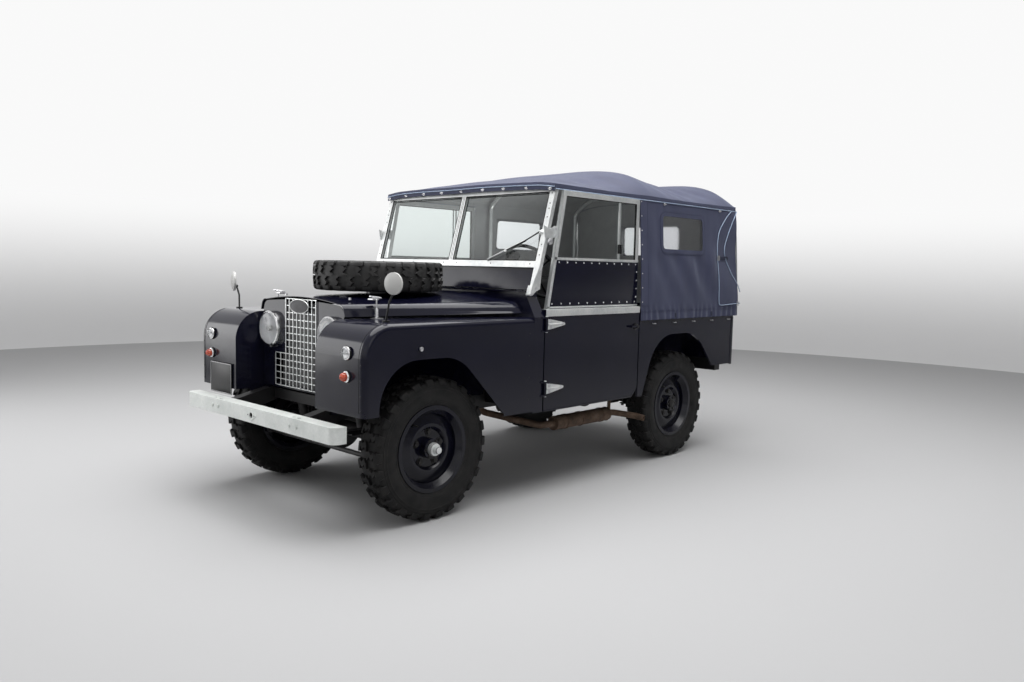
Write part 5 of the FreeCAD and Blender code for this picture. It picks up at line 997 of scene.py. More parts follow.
def makeRearTrim():
    c, t = hood, trim
    out = (-1, 0, 0)

    def laid(line, lift=0.002):
        points = []
        for y, z in line:
            share = y / c["half"]
            over = roofHeight(c["rear"], min(1, abs(share)))
            points.append(Vector((rearPoint(share, (over - z) / (over - 1.0), lift).x, y, z)))
        return points

    inner, grown = windowLoop(c["backWindow"])
    laidStrip("windowBorderRear", inner, grown(t["border"]), laid, closed=True)
    ys = spread(-0.76, 0.76, 110)
    laidStrip("hemBandRear", [(y, 1.052) for y in ys], [(y, 1.004) for y in ys], laid)
    straps = []
    for y in t["rollStraps"]:
        path = laid([(y, z) for z in spread(1.735, 1.075, 36)], 0.0045)
        straps += ribbon(path, Vector((0, t["strap"], 0)), out, 0.0022)
    built("rollStraps", "webbing", straps, weld=True)
    places = laid([(y, 1.13) for y in t["rollStraps"]], 0.007)
    built("rollBuckles", "brightSteel", [(buckle, p, out, (0, 0, 1)) for p in places])
    edge = [roofPoint(c["rear"], share) + Vector((-0.0016, 0, -0.0018)) for share in spread(-1, 1, 90)]
    built("rearPiping", "canvas", [(addTube, edge, t["piping"], 8)])
    seam = grown(t["seam"])
    stitches("rearStitches", [laid(line, 0.0034) for line in
                              ([(y, 1.047) for y in ys], [(y, 1.012) for y in ys], seam + seam[:1])])


for hoodSide in (1, -1):
    makeSideTrim(hoodSide)
makeHeader()
makeRearTrim()
print("hood trimmed")


# Doors and side screens: navy panels in a zinc frame, capping, strap hinges, handle, window slides.
doors = {
    "front": 0.4435, "rear": -0.4525, "face": 0.775, "screenFace": 0.752, "screenMid": 0.743,
    "foot": (0.4135, 1.0473), "head": (0.2841, 1.714), "panelTop": 1.326, "bar": 0.03, "panelGauge": 0.0022,
    "rivet": (0.0048, 0.0026), "slide": -0.245, "strapHeights": (0.607, 0.966), "hinge": (0.4435, 0.785),
    "capping": [(0.7775, 1.0085), (0.7805, 1.011), (0.7805, 1.0425), (0.7775, 1.0485), (0.7395, 1.0485),
                (0.7395, 1.0465), (0.776, 1.0465), (0.7785, 1.0415), (0.7785, 1.0125)],
    "strap": [(0.008, -0.030), (0.008, 0.030), (0.055, 0.024), (0.150, 0.0085), (0.158, 0.004), (0.158, -0.004),
              (0.150, -0.0085), (0.055, -0.024)], "strapBolts": [(0.034, 0.017), (0.034, -0.017), (0.135, 0.0)],
    "pinHead": [(0.0, 0.0), (0.0, 0.0076), (0.0016, 0.0082), (0.0038, 0.007), (0.0048, 0.0)],
    "pinFoot": [(0.0, 0.0), (0.0, 0.0076), (0.0016, 0.0082), (0.0034, 0.0)],
    "escutcheon": [(0.020, -0.017), (0.020, 0.017), (0.036, 0.022), (0.052, 0.017), (0.052, -0.017), (0.036, -0.022)],
    "boss": [(0, 0.0145), (0.010, 0.0135), (0.0215, 0.0115), (0.0222, 0.0)], "handleHigh": 0.925,
}


def screenEdge(z, inset=0.0):
    (x0, z0), (x1, z1) = doors["foot"], doors["head"]
    return x0 + (x1 - x0) * (z - z0) / (z1 - z0) - inset


def makeSideScreens(side, word, body):
    c = doors
    foot, top, high, rear = c["foot"][1], c["panelTop"], c["head"][1] - c["bar"], c["rear"]
    out = (0, side, 0)

    def onFace(y, outline):
        return [Vector((x, side * y, z)) for x, z in outline]

    # The lower panel is let into the frame, in body colour on both faces.
    outline = [(screenEdge(foot, 0.004), foot + 0.001), (screenEdge(top, 0.004), top - 0.004),
               (rear + 0.003, top - 0.004), (rear + 0.003, foot + 0.001)]
    for where, y, way in (("", c["screenFace"], 1), ("Inner", 2 * c["screenMid"] - c["screenFace"], -1)):
        built("screenPanel" + where + word, "navyPaint",
              [(addPlate, onFace(y, outline), (0, side * way, 0), c["panelGauge"], 0.0006)], body)
    y = c["screenFace"] + c["panelGauge"]
    strips = [corners(screenEdge(z, -0.001), rear, z + low, z + tall) for z, low, tall in
              ((top, -0.002, 0.012), (foot, 0.005, 0.015))]
    strips.append([(screenEdge(foot), foot), (screenEdge(1.712), 1.712), (screenEdge(1.712, 0.022), 1.712),
                   (screenEdge(foot, 0.022), foot)])
    built("screenStrips" + word, "zinc", [(addPlate, onFace(y - 0.0003, strip), out, 0.0018, 0.0005)
                                          for strip in strips], body)
    rows = [(x, z) for edge, z in ((top, top - 0.016), (foot, foot + 0.03))
            for x in spread(screenEdge(edge, 0.045), rear + 0.028, 10)]
    slant = [(screenEdge(z, 0.011), z) for z in spread(foot + 0.05, top - 0.04, 4) + [1.43, 1.47, 1.5]]
    column = [(rear + 0.014, foot + 0.06 + 0.052 * i) for i in range(4)]
    spots = onFace(y + 0.0002, rows) + onFace(y + 0.0018, slant) + onFace(y + 0.0002, column)
    fixings("screenRivets" + word, [(p, out) for p in spots], "rivets", *c["rivet"], "zinc", body)
    # The sliding window: a dark channel round the opening, two glass edges with bright stiles and their pulls.
    opening = [(screenEdge(top, 0.03), top), (screenEdge(high, 0.03), high), (rear + c["bar"], high),
               (rear + c["bar"], top)]
    panes = ((c["slide"], 0.0045), (c["slide"] - 0.022, -0.0045))
    built("windowChannel" + word, "sealRubber", [(addTube, onFace(c["screenMid"] + reach, opening), 0.0042, 8, True)
                                                 for x, reach in panes], body)
    stiles = []
    for x, reach in panes:
        stile = onFace(c["screenMid"] + reach - 0.0035, corners(x - 0.006, x + 0.006, top + 0.004, high - 0.004))
        stiles.append((addPlate, stile, out, 0.007, 0.0012))
    built("windowStiles" + word, "zinc", stiles, body)
    y = side * 0.7525
    built("windowPulls" + word, "bakelite",
          [(addBox, (x - 0.007, y - 0.004, 1.372), (x + 0.007, y + 0.004, 1.428), 0.002)
           for x in (c["slide"] + 0.001, c["slide"] - 0.022)], body)


def makeDoorFurniture(side, word, body):
    c = doors
    front, rear, face = c["front"], c["rear"], c["face"]
    out = (0, side, 0)

    def onDoor(y, outline):
        return [Vector((x, side * y, z)) for x, z in outline]

    def capping(bm):
        ends = [[bm.verts.new((x, side * y, z)) for y, z in c["capping"]] for x in (front - 0.001, rear + 0.001)]
        bridge(bm, ends)
        for ring in ends:
            bm.faces.new(ring)

    built("doorCapping" + word, "zinc", [(capping,)], body)
    spots = [(p, out) for p in onDoor(face + 0.0056, [(x, 1.027) for x in spread(front - 0.03, rear + 0.03, 11)])]
    fixings("cappingRivets" + word, spots, "rivets", 0.0036, 0.0016, "zinc", body)
    straps, bolts, pins = [], [], []
    for z in c["strapHeights"]:
        outline = onDoor(0.783, [(front - u, z + v) for u, v in c["strap"]])
        ridge = [(front - u, side * y, z) for u, y in ((0.010, 0.7858), (0.05, 0.7868), (0.12, 0.7862))]
        straps += [(addPlate, outline, out, 0.0025, 0.0012), (addTube, ridge, [0.0065, 0.005, 0.0025])]
        bolts += [(p, out) for p in onDoor(0.7856, [(front - u, z + v) for u, v in c["strapBolts"]])]
        for profile, way in (("pinHead", 1), ("pinFoot", -1)):
            place = (c["hinge"][0], side * c["hinge"][1], z + 0.0421 * way)
            pins.append((addLathe, c[profile], place, (0, 0, way), 20))
    built("strapHinges" + word, "zinc", straps, body)
    fixings("strapBolts" + word, bolts, "bolts", 0.013, 0.0034, "brightSteel", body)
    built("hingeHeads" + word, "zinc", pins)
    # The folded lower edge makes the door read as two skins.
    hem = [(front - 0.003, 0.4785), (front - 0.003, 0.4865), (rear + 0.058, 0.4865), (rear + 0.0025, 0.5415),
           (rear + 0.0025, 0.5335), (rear + 0.056, 0.4785)]
    built("doorHem" + word, "navyPaint", [(addPlate, onDoor(face + 0.0004, hem), out, 0.0016, 0.0005)], body)
    high = c["handleHigh"]
    plate = onDoor(face + 0.001, [(rear + u, high + v) for u, v in c["escutcheon"]])
    built("handleBoss" + word, "bakelite",
          [(addPlate, plate, out, 0.0028, 0.001),
           (addLathe, c["boss"], (rear + 0.036, side * (face + 0.001), high), out, 24)], body)
    pull = [(rear + u, side * y, 0.93) for u, y in ((0.13, 0.7445), (0.13, 0.7285), (0.26, 0.7285), (0.26, 0.7445))]
    built("doorPull" + word, "bakelite", [(addTube, pull, 0.0055)], body)


for doorSide, doorWord in ((1, "Left"), (-1, "Right")):
    doorBody = f"door_{doorWord.lower()}_body"
    makeSideScreens(doorSide, doorWord, doorBody)
    makeDoorFurniture(doorSide, doorWord, doorBody)
print("doors dressed")


# Windscreen fittings: seals, screws, quadrants, clamps, wiper and motor, all on the frame's own slope.
screen = {
    "foot": (0.4835, 1.1518), "lean": 15.5, "half": 0.736, "bar": 0.04, "front": 0.013, "sill": 0.128, "tall": 0.606,
    "quadrant": [(0.463, 1.287), (0.474, 1.262), (0.497, 1.224), (0.517, 1.18), (0.536, 1.13), (0.534, 1.122),
                 (0.515, 1.125), (0.482, 1.152), (0.455, 1.158), (0.440, 1.287)],
    "clamp": [(0.437, 1.512), (0.383, 1.492), (0.345, 1.512), (0.315, 1.504), (0.318, 1.445), (0.352, 1.448),
              (0.371, 1.43), (0.424, 1.444)],
    "sideScrews": (0.20, 0.26, 0.42, 0.47, 0.5, 0.56), "sillScrews": (0.66, 0.35, 0.06),
    "bolts": [(0.333, 1.497), (0.333, 1.458), (0.45, 1.262), (0.49, 1.165), (0.525, 1.132)],
    "knob": [(0, 0.0), (0, 0.010), (0.006, 0.010), (0.007, 0.016), (0.018, 0.0165), (0.021, 0.012), (0.022, 0.0)],
    "knobPlace": (0.392, 1.424), "pivot": (0.697, 0.331), "elbow": (0.6, 0.275),
    "blade": [(0.325, 0.163), (0.60, 0.281)],
    "pivotCap": [(0, 0.014), (0.006, 0.014), (0.008, 0.009), (0.017, 0.008), (0.018, 0)],
    "clip": [(0, 0.009), (0.005, 0.009), (0.006, 0)], "motor": (0.467, 0.183),
    "motorCase": [(0, 0.0), (0, 0.03), (0.05, 0.03), (0.058, 0.022), (0.06, 0)],
}


# A point on the windscreen's front face, high metres up its slope.
def onScreen(y, high, out=0.0):
    lean = math.radians(screen["lean"])
    reach = screen["front"] + out
    return Vector((screen["foot"][0] - high * math.sin(lean) + reach * math.cos(lean), y,
                   screen["foot"][1] + high * math.cos(lean) + reach * math.sin(lean)))


def makeScreenFittings():
    c = screen
    facing = onScreen(0, 0, 1) - onScreen(0, 0, 0)
    low, high, mid = c["sill"] + c["bar"], c["tall"] - c["bar"], c["bar"] / 2
    seals = [(addTube, [onScreen(y, h, out) for h, y in corners(low, high, y0, y1)], 0.0036, 8, True)
             for y0, y1 in ((mid, c["half"] - c["bar"]), (mid - c["half"] + 0.02, -mid)) for out in (-0.001, -0.0235)]
    seals.append((addTube, [onScreen(y, c["sill"] + 0.001, -0.010) for y in (-0.694, 0.694)], 0.004))
    seals += [(addPlate, [onScreen(v, h) for h, v in corners(low - 0.002, high + 0.002, y - 0.0012, y + 0.0012)],
               facing, 0.0006) for y in (-0.0055, 0.0055)]
    built("screenSeals", "sealRubber", seals)
    places = [(c["half"] - 0.019, h) for h in c["sideScrews"]] + [(y, c["sill"] + 0.02) for y in c["sillScrews"]]
    spots = [(onScreen(side * y, h, 0.0003), facing) for y, h in places for side in (1, -1)]
    fixings("screenScrews", spots, "rivets", 0.0042, 0.0016, "castAlloy")
    plates, knobs, bolts = [], [], []
    grip = Vector((0.003, 0.005, 0.003))
    for side in (1, -1):
        for outline, y, way, thick, bevel in ((c["quadrant"], 0.7365, side, 0.003, 0.0008),
                                              (c["clamp"], 0.7368, side, 0.003, 0.0008),
                                              (c["quadrant"][3:8], 0.7365, -side, 0.03, 0.001)):
            plates.append((addPlate, [(x, side * y, z) for x, z in outline], (0, way, 0), thick, bevel))
        x, z = c["knobPlace"]
        knobs.append((addLathe, c["knob"], (x, side * 0.739, z), (0, side, 0), 22))
        for a in circle(5):
            lobe = Vector((x + 0.0165 * math.cos(a), side * 0.7525, z + 0.0165 * math.sin(a)))
            knobs.append((addBox, lobe - grip, lobe + grip, 0.0012))
        bolts += [((x, side * 0.7397, z), (0, side, 0)) for x, z in c["bolts"]]
    built("screenQuadrants", "zinc", plates)
    built("screenKnobs", "brightSteel", knobs)
    fixings("quadrantBolts", bolts, "bolts", 0.011, 0.004, "brightSteel")
    (ya, ha), (yb, hb) = c["blade"]
    middle = ((ya + yb) / 2, (ha + hb) / 2)
    arm = [onScreen(*c["pivot"], 0.012), onScreen(*c["elbow"], 0.017), onScreen(*middle, 0.012)]
    built("wiperArm", "bakelite", [(addTube, arm, [0.0045, 0.0038, 0.003]),
                                   (addTube, [onScreen(ya, ha, 0.0035), onScreen(yb, hb, 0.0035)], 0.0034, 6)])
    back = [onScreen(ya + 0.004, ha + 0.004, 0.0085), onScreen(yb - 0.004, hb + 0.001, 0.0085)]
    built("wiperBlade", "zinc", [(addTube, back, 0.0058, 8),
                                 (addLathe, c["pivotCap"], onScreen(*c["pivot"], -0.002), facing, 22),
                                 (addLathe, c["clip"], onScreen(*middle, 0.009), facing, 16)])
    y, h = c["motor"]
    base = onScreen(y, h + 0.03, -0.03)
    built("wiperMotor", "bakelite", [(addLathe, c["motorCase"], base, -facing, 26),
                                     (addTube, [base, onScreen(y, h, -0.02)], 0.012)])


makeScreenFittings()
print("windscreen fitted")


# Lamps: bowls, reflectors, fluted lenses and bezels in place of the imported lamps.
# The small lamps' profiles are measured from the lens radius, with None on the axis.
lamps = {
    "head": (1.4975, 0.283, 0.917), "tail": [(-1.6545, 0.690, 0.740), (-1.6545, 0.690, 0.830)],
    "shell": [(-0.060, 0.0), (-0.058, 0.05), (-0.02, 0.086), (0.004, 0.0885), (0.024, 0.0885)],
    "bowl": [(-0.018, 0.002), (-0.014, 0.035), (0.0, 0.066), (0.022, 0.083)],
    "bezel": [(0.0, 0.0895), (0.0, 0.0975), (0.016, 0.098), (0.027, 0.0955), (0.032, 0.089), (0.029, 0.084),
              (0.022, 0.084)],
    "bulb": [(-0.015, 0.0), (-0.015, 0.012), (0.0, 0.012), (0.004, 0.015), (0.012, 0.012), (0.016, 0)],
    "small": [("sidelamps", (1.6658, 0.646, 0.870), "flutedGlass", 0.0265, 0.014),
              ("indicators", (1.6658, 0.646, 0.761), "orangeLens", 0.0215, 0.027)],
    "seat": [(0.0, None), (0.0, 0.0075), (0.005, 0.007), (0.006, None)],
    "rim": [(0.005, -0.001), (0.0055, 0.0055), (0.009, 0.0055), (0.0135, 0.002), (0.0145, -0.001), (0.0135, -0.003)],
    "dish": [(0.0062, None), (0.0062, -0.002), (0.0105, -0.002)],
    "tailRim": [(-0.001, 0.0), (-0.001, 0.0318), (-0.010, 0.0315), (-0.0135, 0.0285), (-0.013, 0.026), (-0.008, 0.0)],
}


# A domed lens with upright flutes.
def addLens(bm, place, axis, radius, rise, flutes, depth, around, steps):
    axis, side = Vector(axis), Vector((0, 1, 0))
    up = axis.cross(side)
    rings = []
    for r in range(steps + 1):
        reach, high = radius * math.cos(math.pi / 2 * r / steps), rise * math.sin(math.pi / 2 * r / steps)
        ring = []
        for a in circle(around if reach > 1e-6 else 1):
            y, z = reach * math.cos(a), reach * math.sin(a)
            groove = depth * math.cos(y / radius * math.pi * flutes) * (1 - (reach / radius) ** 6)
            ring.append(bm.verts.new(Vector(place) + side * y + up * z + axis * (high + groove)))
        rings.append(ring)
    bridge(bm, rings)


def makeLamps():
    c = lamps
    ahead = (1, 0, 0)
    shells, bowls, bezels, clear, bulbs = [], [], [], [], []
    x, reach, z = c["head"]
    for y in (reach, -reach):
        for shapes, profile, sides in ((shells, "shell", 48), (bowls, "bowl", 48), (bezels, "bezel", 64),
                                       (bulbs, "bulb", 20)):
            shapes.append((addLathe, c[profile], (x, y, z), ahead, sides))
        bezels.append((addBox, (x + 0.004, y - 0.008, z - 0.104), (x + 0.022, y + 0.008, z - 0.094), 0.002))
        clear.append((addLens, (x + 0.028, y, z), ahead, 0.0855, 0.022, 12, 0.0012, 96, 16))
    built("headlampBezels", "chrome", bezels)
    built("headlampBowls", "reflector", bowls)
    built("headlampShells", "navyPaint", shells)
    built("headlampBulbs", "plateEnamel", bulbs)
    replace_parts(built("headlampLenses", "flutedGlass", clear), "headlamps")
    for node, (x, reach, z), finish, radius, rise in c["small"]:
        amber = node == "indicators"
        rims, seats, lenses = [], [], []

        def turned(profile, place, sides):
            return addLathe, [(u, 0 if v is None else radius + v) for u, v in c[profile]], place, ahead, sides

        for y in (reach, -reach):
            place = (x, y, z)
            seats.append(turned("seat", place, 36))
            rims.append(turned("rim", place, 36))
            (seats if amber else rims).append(turned("dish", place, 30))
            lenses.append((addLens, (x + 0.0125, y, z), ahead, radius, rise, 7, 0.0009, 60, 12))
            if amber:
                lenses.append((addLathe, [(0.012, radius), (0.02, radius)], place, ahead, 60))
        built(node + "Rims", "chrome", rims)
        built(node + "Seats", "sealRubber", seats)
        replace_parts(built(node + "Lenses", finish, lenses), node)
    places = [(x, side * y, z) for x, y, z in c["tail"] for side in (1, -1)]
    built("rearLampRims", "bakelite", [(addLathe, c["tailRim"], place, ahead, 36) for place in places])
    lenses = [(addLens, (x - 0.0125, y, z), (-1, 0, 0), 0.0262, 0.0185, 5, 0.0008, 48, 10) for x, y, z in places]
    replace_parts(built("rearLampLenses", "redLens", lenses), "rear_lamps")


makeLamps()
print("lamps made")


# Front details: blank plate, bare badge, wing seams, knobs, bonnet catches, bumper plate, mirror shells.
front = {
    "plate": (-0.655, -0.418, 0.545, 0.715), "badge": (1.5102, 1.048, 0.088, 0.036), "noseCentre": (1.5105, 0.851),
    "noseRadius": 0.1554, "wing": 1.6657, "catch": (1.36, 0.46), "diamond": (0.047, 0.02914), "hole": 0.0145,
    "handle": (1.7876, 0.505), "seamY": 0.735, "knobPlace": (1.34, 0.7751, 0.881), "restPlace": (1.405, 0.30, 1.094),
    "knob": [(0, 0.0075), (0.004, 0.0075), (0.005, 0.0105), (0.012, 0.0105), (0.0135, 0.008), (0.014, 0)],
    "rest": [(0, 0.007), (0.011, 0.0062), (0.012, 0)],
    "mirrors": [((1.4375, 0.691, 1.188), (0.97, 0.2, 0), 0.052), ((1.4855, -0.735, 1.16), (0.93, -0.35, 0), 0.055)],
    "shell": [(0.0152, 0.0), (0.0148, 0.56), (0.0058, 1.012), (-0.0045, 1.02), (-0.0062, 0.985), (-0.0055, 0.93)],
    "mirror": [(-0.0054, 0.95), (-0.006, 0.5), (-0.0062, 0)],
}


def onSideOf(place, side):
    x, y, z = place
    return x, side * y, z


# The bumper's diamond plate with its round hole.
def addDiamond(bm, steps=32):
    wide, tall = front["diamond"]
    x, z = front["handle"]
    outer = [(wide, 0), (0, tall), (-wide, 0), (0, -tall)]
    inner = [(front["hole"] * math.cos(a), front["hole"] * math.sin(a)) for a in circle(steps)]
    edge = []
    for t in (k / steps * 4 for k in range(steps)):
        a, b = outer[int(t) % 4], outer[(int(t) + 1) % 4]
        edge.append((a[0] + (b[0] - a[0]) * (t % 1), a[1] + (b[1] - a[1]) * (t % 1)))
    bridge(bm, [[bm.verts.new((x + lift, p[0], z + p[1])) for p in line] for line, lift in
                ((edge, 0.0), (edge, 0.0028), (inner, 0.0028), (inner, 0.0))])


def makeFrontDetails():
    c = front
    ahead, up = (1, 0, 0), (0, 0, 1)
    y0, y1, z0, z1 = c["plate"]
    built("frontPlate", "plateBlack", [(addBox, (c["wing"] + 0.0065, y0, z0), (c["wing"] + 0.009, y1, z1), 0.001)])
    border = [(c["wing"] + 0.0091, y, z) for z, y in corners(z0 + 0.004, z1 - 0.004, y0 + 0.004, y1 - 0.004)]
    studs = [(addLathe, [(0, 0.006), (0.0065, 0.006)], (c["wing"], y, (z0 + z1) / 2), ahead, 12)
             for y in (y0 + 0.03, y1 - 0.03)]
    built("frontPlateRim", "brightSteel", [(addTube, border, 0.0016, 6, True)] + studs)
    x, z, wide, tall = c["badge"]
    oval = [Vector((x, wide * math.cos(a), z + tall * math.sin(a))) for a in circle(48)]
    built("badgePlate", "castAlloy", [(addPlate, oval, ahead, 0.0026, 0.0006)])
    built("badgeRim", "zinc", [(addTube, [p + Vector((0.0028, 0, 0)) for p in oval], 0.0022, 8, True)])
    cx, cz = c["noseCentre"]
    r = c["noseRadius"]
    seam = [(c["wing"] + 0.0002, 0.6 + 0.0251 * i) for i in range(10)]
    seam += [(cx + r * math.cos(math.radians(6 * k)), cz + r * math.sin(math.radians(6 * k))) for k in range(14)]
    built("wingSeams", "sealRubber", [(addTube, [(x, side * c["seamY"], z) for x, z in seam], 0.0011, 6)
                                      for side in (1, -1)])
    spots, catches = [], []
    for side in (1, -1):
        out = (0, side, 0)
        spots += [((c["wing"] + 0.0002, side * (c["seamY"] + 0.012), z), ahead) for z in (0.61, 0.68, 0.75, 0.82)]
        spots += [((cx - 0.12 * i - 0.05, side * 0.41, cz + r), up) for i in range(8)]
        spots += [((0.57, side * 0.7753, z), out) for z in (0.56, 0.68, 0.8, 0.92)]
        # A spring catch runs from the wing's top to an eye on the bonnet's flank.
        x, y = c["catch"][0], side * c["catch"][1]
        eye = y - side * 0.026
        foot = [(u, v, 1.0065) for v, u in corners(y - 0.017, y + 0.017, x - 0.03, x + 0.022)]
        coil = [(x + 0.0085 * math.cos(k * 0.7), y + 0.0085 * math.sin(k * 0.7), 1.014 + 0.0009 * k)
                for k in range(48)]
        catches += [
            (addLathe, c["knob"], onSideOf(c["knobPlace"], side), out, 20), (addPlate, foot, up, 0.0035, 0.001),
            (addTube, coil, 0.0017, 6),
            (addTube, [(x, y, 1.01), (x, y, 1.1), (x - 0.004, y - side * 0.016, 1.106)], 0.0036),
            (addBox, (x - 0.02, eye - 0.022, 1.098), (x + 0.02, eye + 0.022, 1.106), 0.003),
            (addTube, [(x - 0.035, y - side * 0.01, 1.108), (x - 0.01, y - side * 0.012, 1.112),
                       (x + 0.035, y - side * 0.01, 1.118)], [0.004, 0.0052, 0.0034]),
            (addLathe, c["rest"], onSideOf(c["restPlace"], side), up, 16)]
    fixings("wingScrews", spots, "rivets", 0.0042, 0.0016, "chassisBlack")
    built("bonnetCatches", "brightSteel", catches)
    built("handlePlate", "bumperZinc", [(addDiamond,)])
    x, z = c["handle"]
    spots = [((x + 0.0028, y, z), ahead) for y in (0.03, -0.03)]
    fixings("handlePlateScrews", spots, "rivets", 0.004, 0.0018, "castAlloy")
    spots = [((1.765, s * (0.38 + o), 0.5442), up) for s in (1, -1) for o in (-0.022, 0.022)]
    spots += [((x + 0.0001, s * (0.38 + o), z), ahead) for s in (1, -1) for o in (-0.03, 0.03)]
    fixings("bumperBolts", spots, "bolts", 0.016, 0.005, "bumperZinc")
    for name, finish, profile in (("mirrorShells", "plateEnamel", "shell"), ("mirrorFaces", "chrome", "mirror")):
        built(name, finish, [(addLathe, [(u, radius * v) for u, v in c[profile]], place, axis, 40)
                             for place, axis, radius in c["mirrors"]])


makeFrontDetails()
print("front detailed")


# Wheels: nuts, hub bolts, zinc lock hubs in front, dust caps behind, valves.
hubs = {
    "nuts": (0.0825, 20, 5, 0.0222), "bolts": (0.0425, 0, 6), "rivets": (0.112, 50, 5, 0.0335),
    "reach": {"front": 0.0623, "rear": 0.0563}, "valve": ((0.166, 0.028), (0.163, 0.05), (0.160, 0.066)),
    "lock": [(0.0865, 0.0), (0.0866, 0.0195), (0.094, 0.0195), (0.0945, 0.0215), (0.101, 0.0215), (0.1015, 0.0188),
             (0.109, 0.0182), (0.1128, 0.0165), (0.1132, 0.0)],
    "drum": [(0.0632, 0.0325), (0.0635, 0.0338), (0.08, 0.0336), (0.0862, 0.031), (0.0868, 0.018)],
    "dust": [(0.0563, 0.0), (0.0563, 0.030), (0.0643, 0.0285), (0.0673, 0.024), (0.0681, 0.0)],
}


def makeHubs():
    c = hubs
    for end, x in tyres["axles"].items():
        for side, hand in ((1, "left"), (-1, "right")):
            body, tag = f"wheel_{end}_{hand}", end.capitalize() + hand.capitalize()
            centre, out = Vector((x, side * tyres["track"], tyres["radius"])), (0, side, 0)

            def spoke(radius, angle, reach):
                return centre + Vector((radius * math.cos(angle), side * reach, radius * math.sin(angle)))

            def circled(radius, start, count, reach):
                return [(spoke(radius, math.radians(start) + a, reach), out) for a in circle(count)]

            fixings("wheelNuts" + tag, circled(*c["nuts"]), "bolts", 0.024, 0.013, "chassisBlack", body)
            fixings("hubBolts" + tag, circled(*c["bolts"], c["reach"][end]), "bolts", 0.012, 0.005, "chassisBlack",
                    body)
            # The disc rivets take the rims' darker paint, which is painted shade.
            fixings("discRivets" + tag, circled(*c["rivets"]), "rivets", 0.006, 0.003, "wheelPaint", body)
            lathes = [("lock", 30), ("drum", 36)] if end == "front" else [("dust", 30)]
            built("hubCap" + tag, "zinc" if end == "front" else "chassisBlack",
                  [(addLathe, c[profile], centre, out, sides) for profile, sides in lathes], body)
            stem = [spoke(radius, 0.9, reach) for radius, reach in c["valve"]]
            built("valve" + tag, "sealRubber", [(addTube, stem, [0.0055, 0.0048, 0.0036])], body)


makeHubs()
print("wheels detailed")


# Seats: foam pads blown up as cloth, then piped round their edges.
seats = {
    "places": {"Left": (0.245, 0.695), "Middle": (-0.17, 0.17), "Right": (-0.695, -0.245)},
    "cushion": (-0.377, -0.011, 0.8015, 0.903), "back": (-0.436, -0.3815, 0.915, 1.232), "shrink": 0.010,
    "voxel": 0.006, "pressure": 4.0, "frames": 20, "cap": 0.012, "piping": 0.0042, "seam": 0.0022,
}


# Cloth with pressure and no gravity, applied as plain mesh with a cap on how far a point moves.
def blowUp(piece):
    c = seats
    remesh = piece.modifiers.new("remesh", "REMESH")
    remesh.mode = "VOXEL"
    remesh.voxel_size = c["voxel"]
    applied(piece)
    rest = [v.co.copy() for v in piece.data.vertices]
    cloth = piece.modifiers.new("cloth", "CLOTH")
    cloth.settings.use_pressure = True
    cloth.settings.uniform_pressure_force = c["pressure"]
    cloth.settings.effector_weights.gravity = 0.0
    cloth.point_cache.frame_end = c["frames"]
    for frameNumber in range(1, c["frames"] + 1):
        bpy.context.scene.frame_set(frameNumber)
    applied(piece)
    bpy.context.scene.frame_set(1)
    for v, home in zip(piece.data.vertices, rest):
        move = v.co - home
        if move.length > c["cap"]:
            v.co = home + move.normalized() * c["cap"]
    piece.data.materials.clear()


# A pad between two corners that lies flat against its board on the low side of the axis.
def makePad(name, low, high, axis, node):
    c = seats
    gap = c["shrink"]
    bm = bmesh.new()
    addBox(bm, [v + gap for v in low], [v - gap for v in high], 0.018)
    piece = solidMesh(name, bm)
    blowUp(piece)
    for v in piece.data.vertices:
        v.co = [min(high[i], max(low[i], v.co[i])) for i in range(3)]
        if abs(v.co[axis] - low[axis]) < gap * 1.3:
            v.co[axis] = low[axis]
    keep(piece, "hide")
    if node:
        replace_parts(piece, node)
    surface = BVHTree.FromObject(piece, bpy.context.evaluated_depsgraph_get())
    along = 2 - axis

    def onPad(y, other, inset):
        point = Vector((0, y, 0))
        point[axis], point[along] = high[axis] - inset, other
        return surface.find_nearest(point)[0]

    sizes = [v for i in sorted((1, along)) for v in (low[i] + 0.012, high[i] - 0.012)]
    loop = [(v, u) if along < 1 else (u, v) for u, v in roundedLoop(*sizes, 0.03)]
    shapes = [(addTube, [onPad(y, other, 0.012) for y, other in loop], c["piping"], 8, True)]
    middle, wide = (low[1] + high[1]) / 2, high[1] - low[1]
    for share in (-0.33, 0.0, 0.33):
        others = spread(low[along] + 0.03, high[along] - 0.03, 24)
        shapes.append((addTube, [onPad(middle + share * wide, other, 0.0) for other in others], c["seam"], 6))
    built(name + "Piping", "bakelite", shapes)


def makeSeats():
    x0, x1, z0, z1 = seats["cushion"]
    u0, u1, w0, w1 = seats["back"]
    boards = []
    for word, (y0, y1) in seats["places"].items():
        first = word == "Left"
        makePad("seatCushion" + word, (x0, y0, z0), (x1, y1, z1), 2, "seat_cushions" if first else None)
        makePad("seatBack" + word, (u0, y0 + 0.006, w0), (u1, y1 - 0.006, w1), 0, "seat_backs" if first else None)
        boards.append((addBox, (u0 - 0.0035, y0 + 0.008, 0.806), (u0 - 0.0003, y1 - 0.008, w1 - 0.006), 0.001))
    built("seatBoards", "chassisBlack", boards)


makeSeats()
print("seats made")


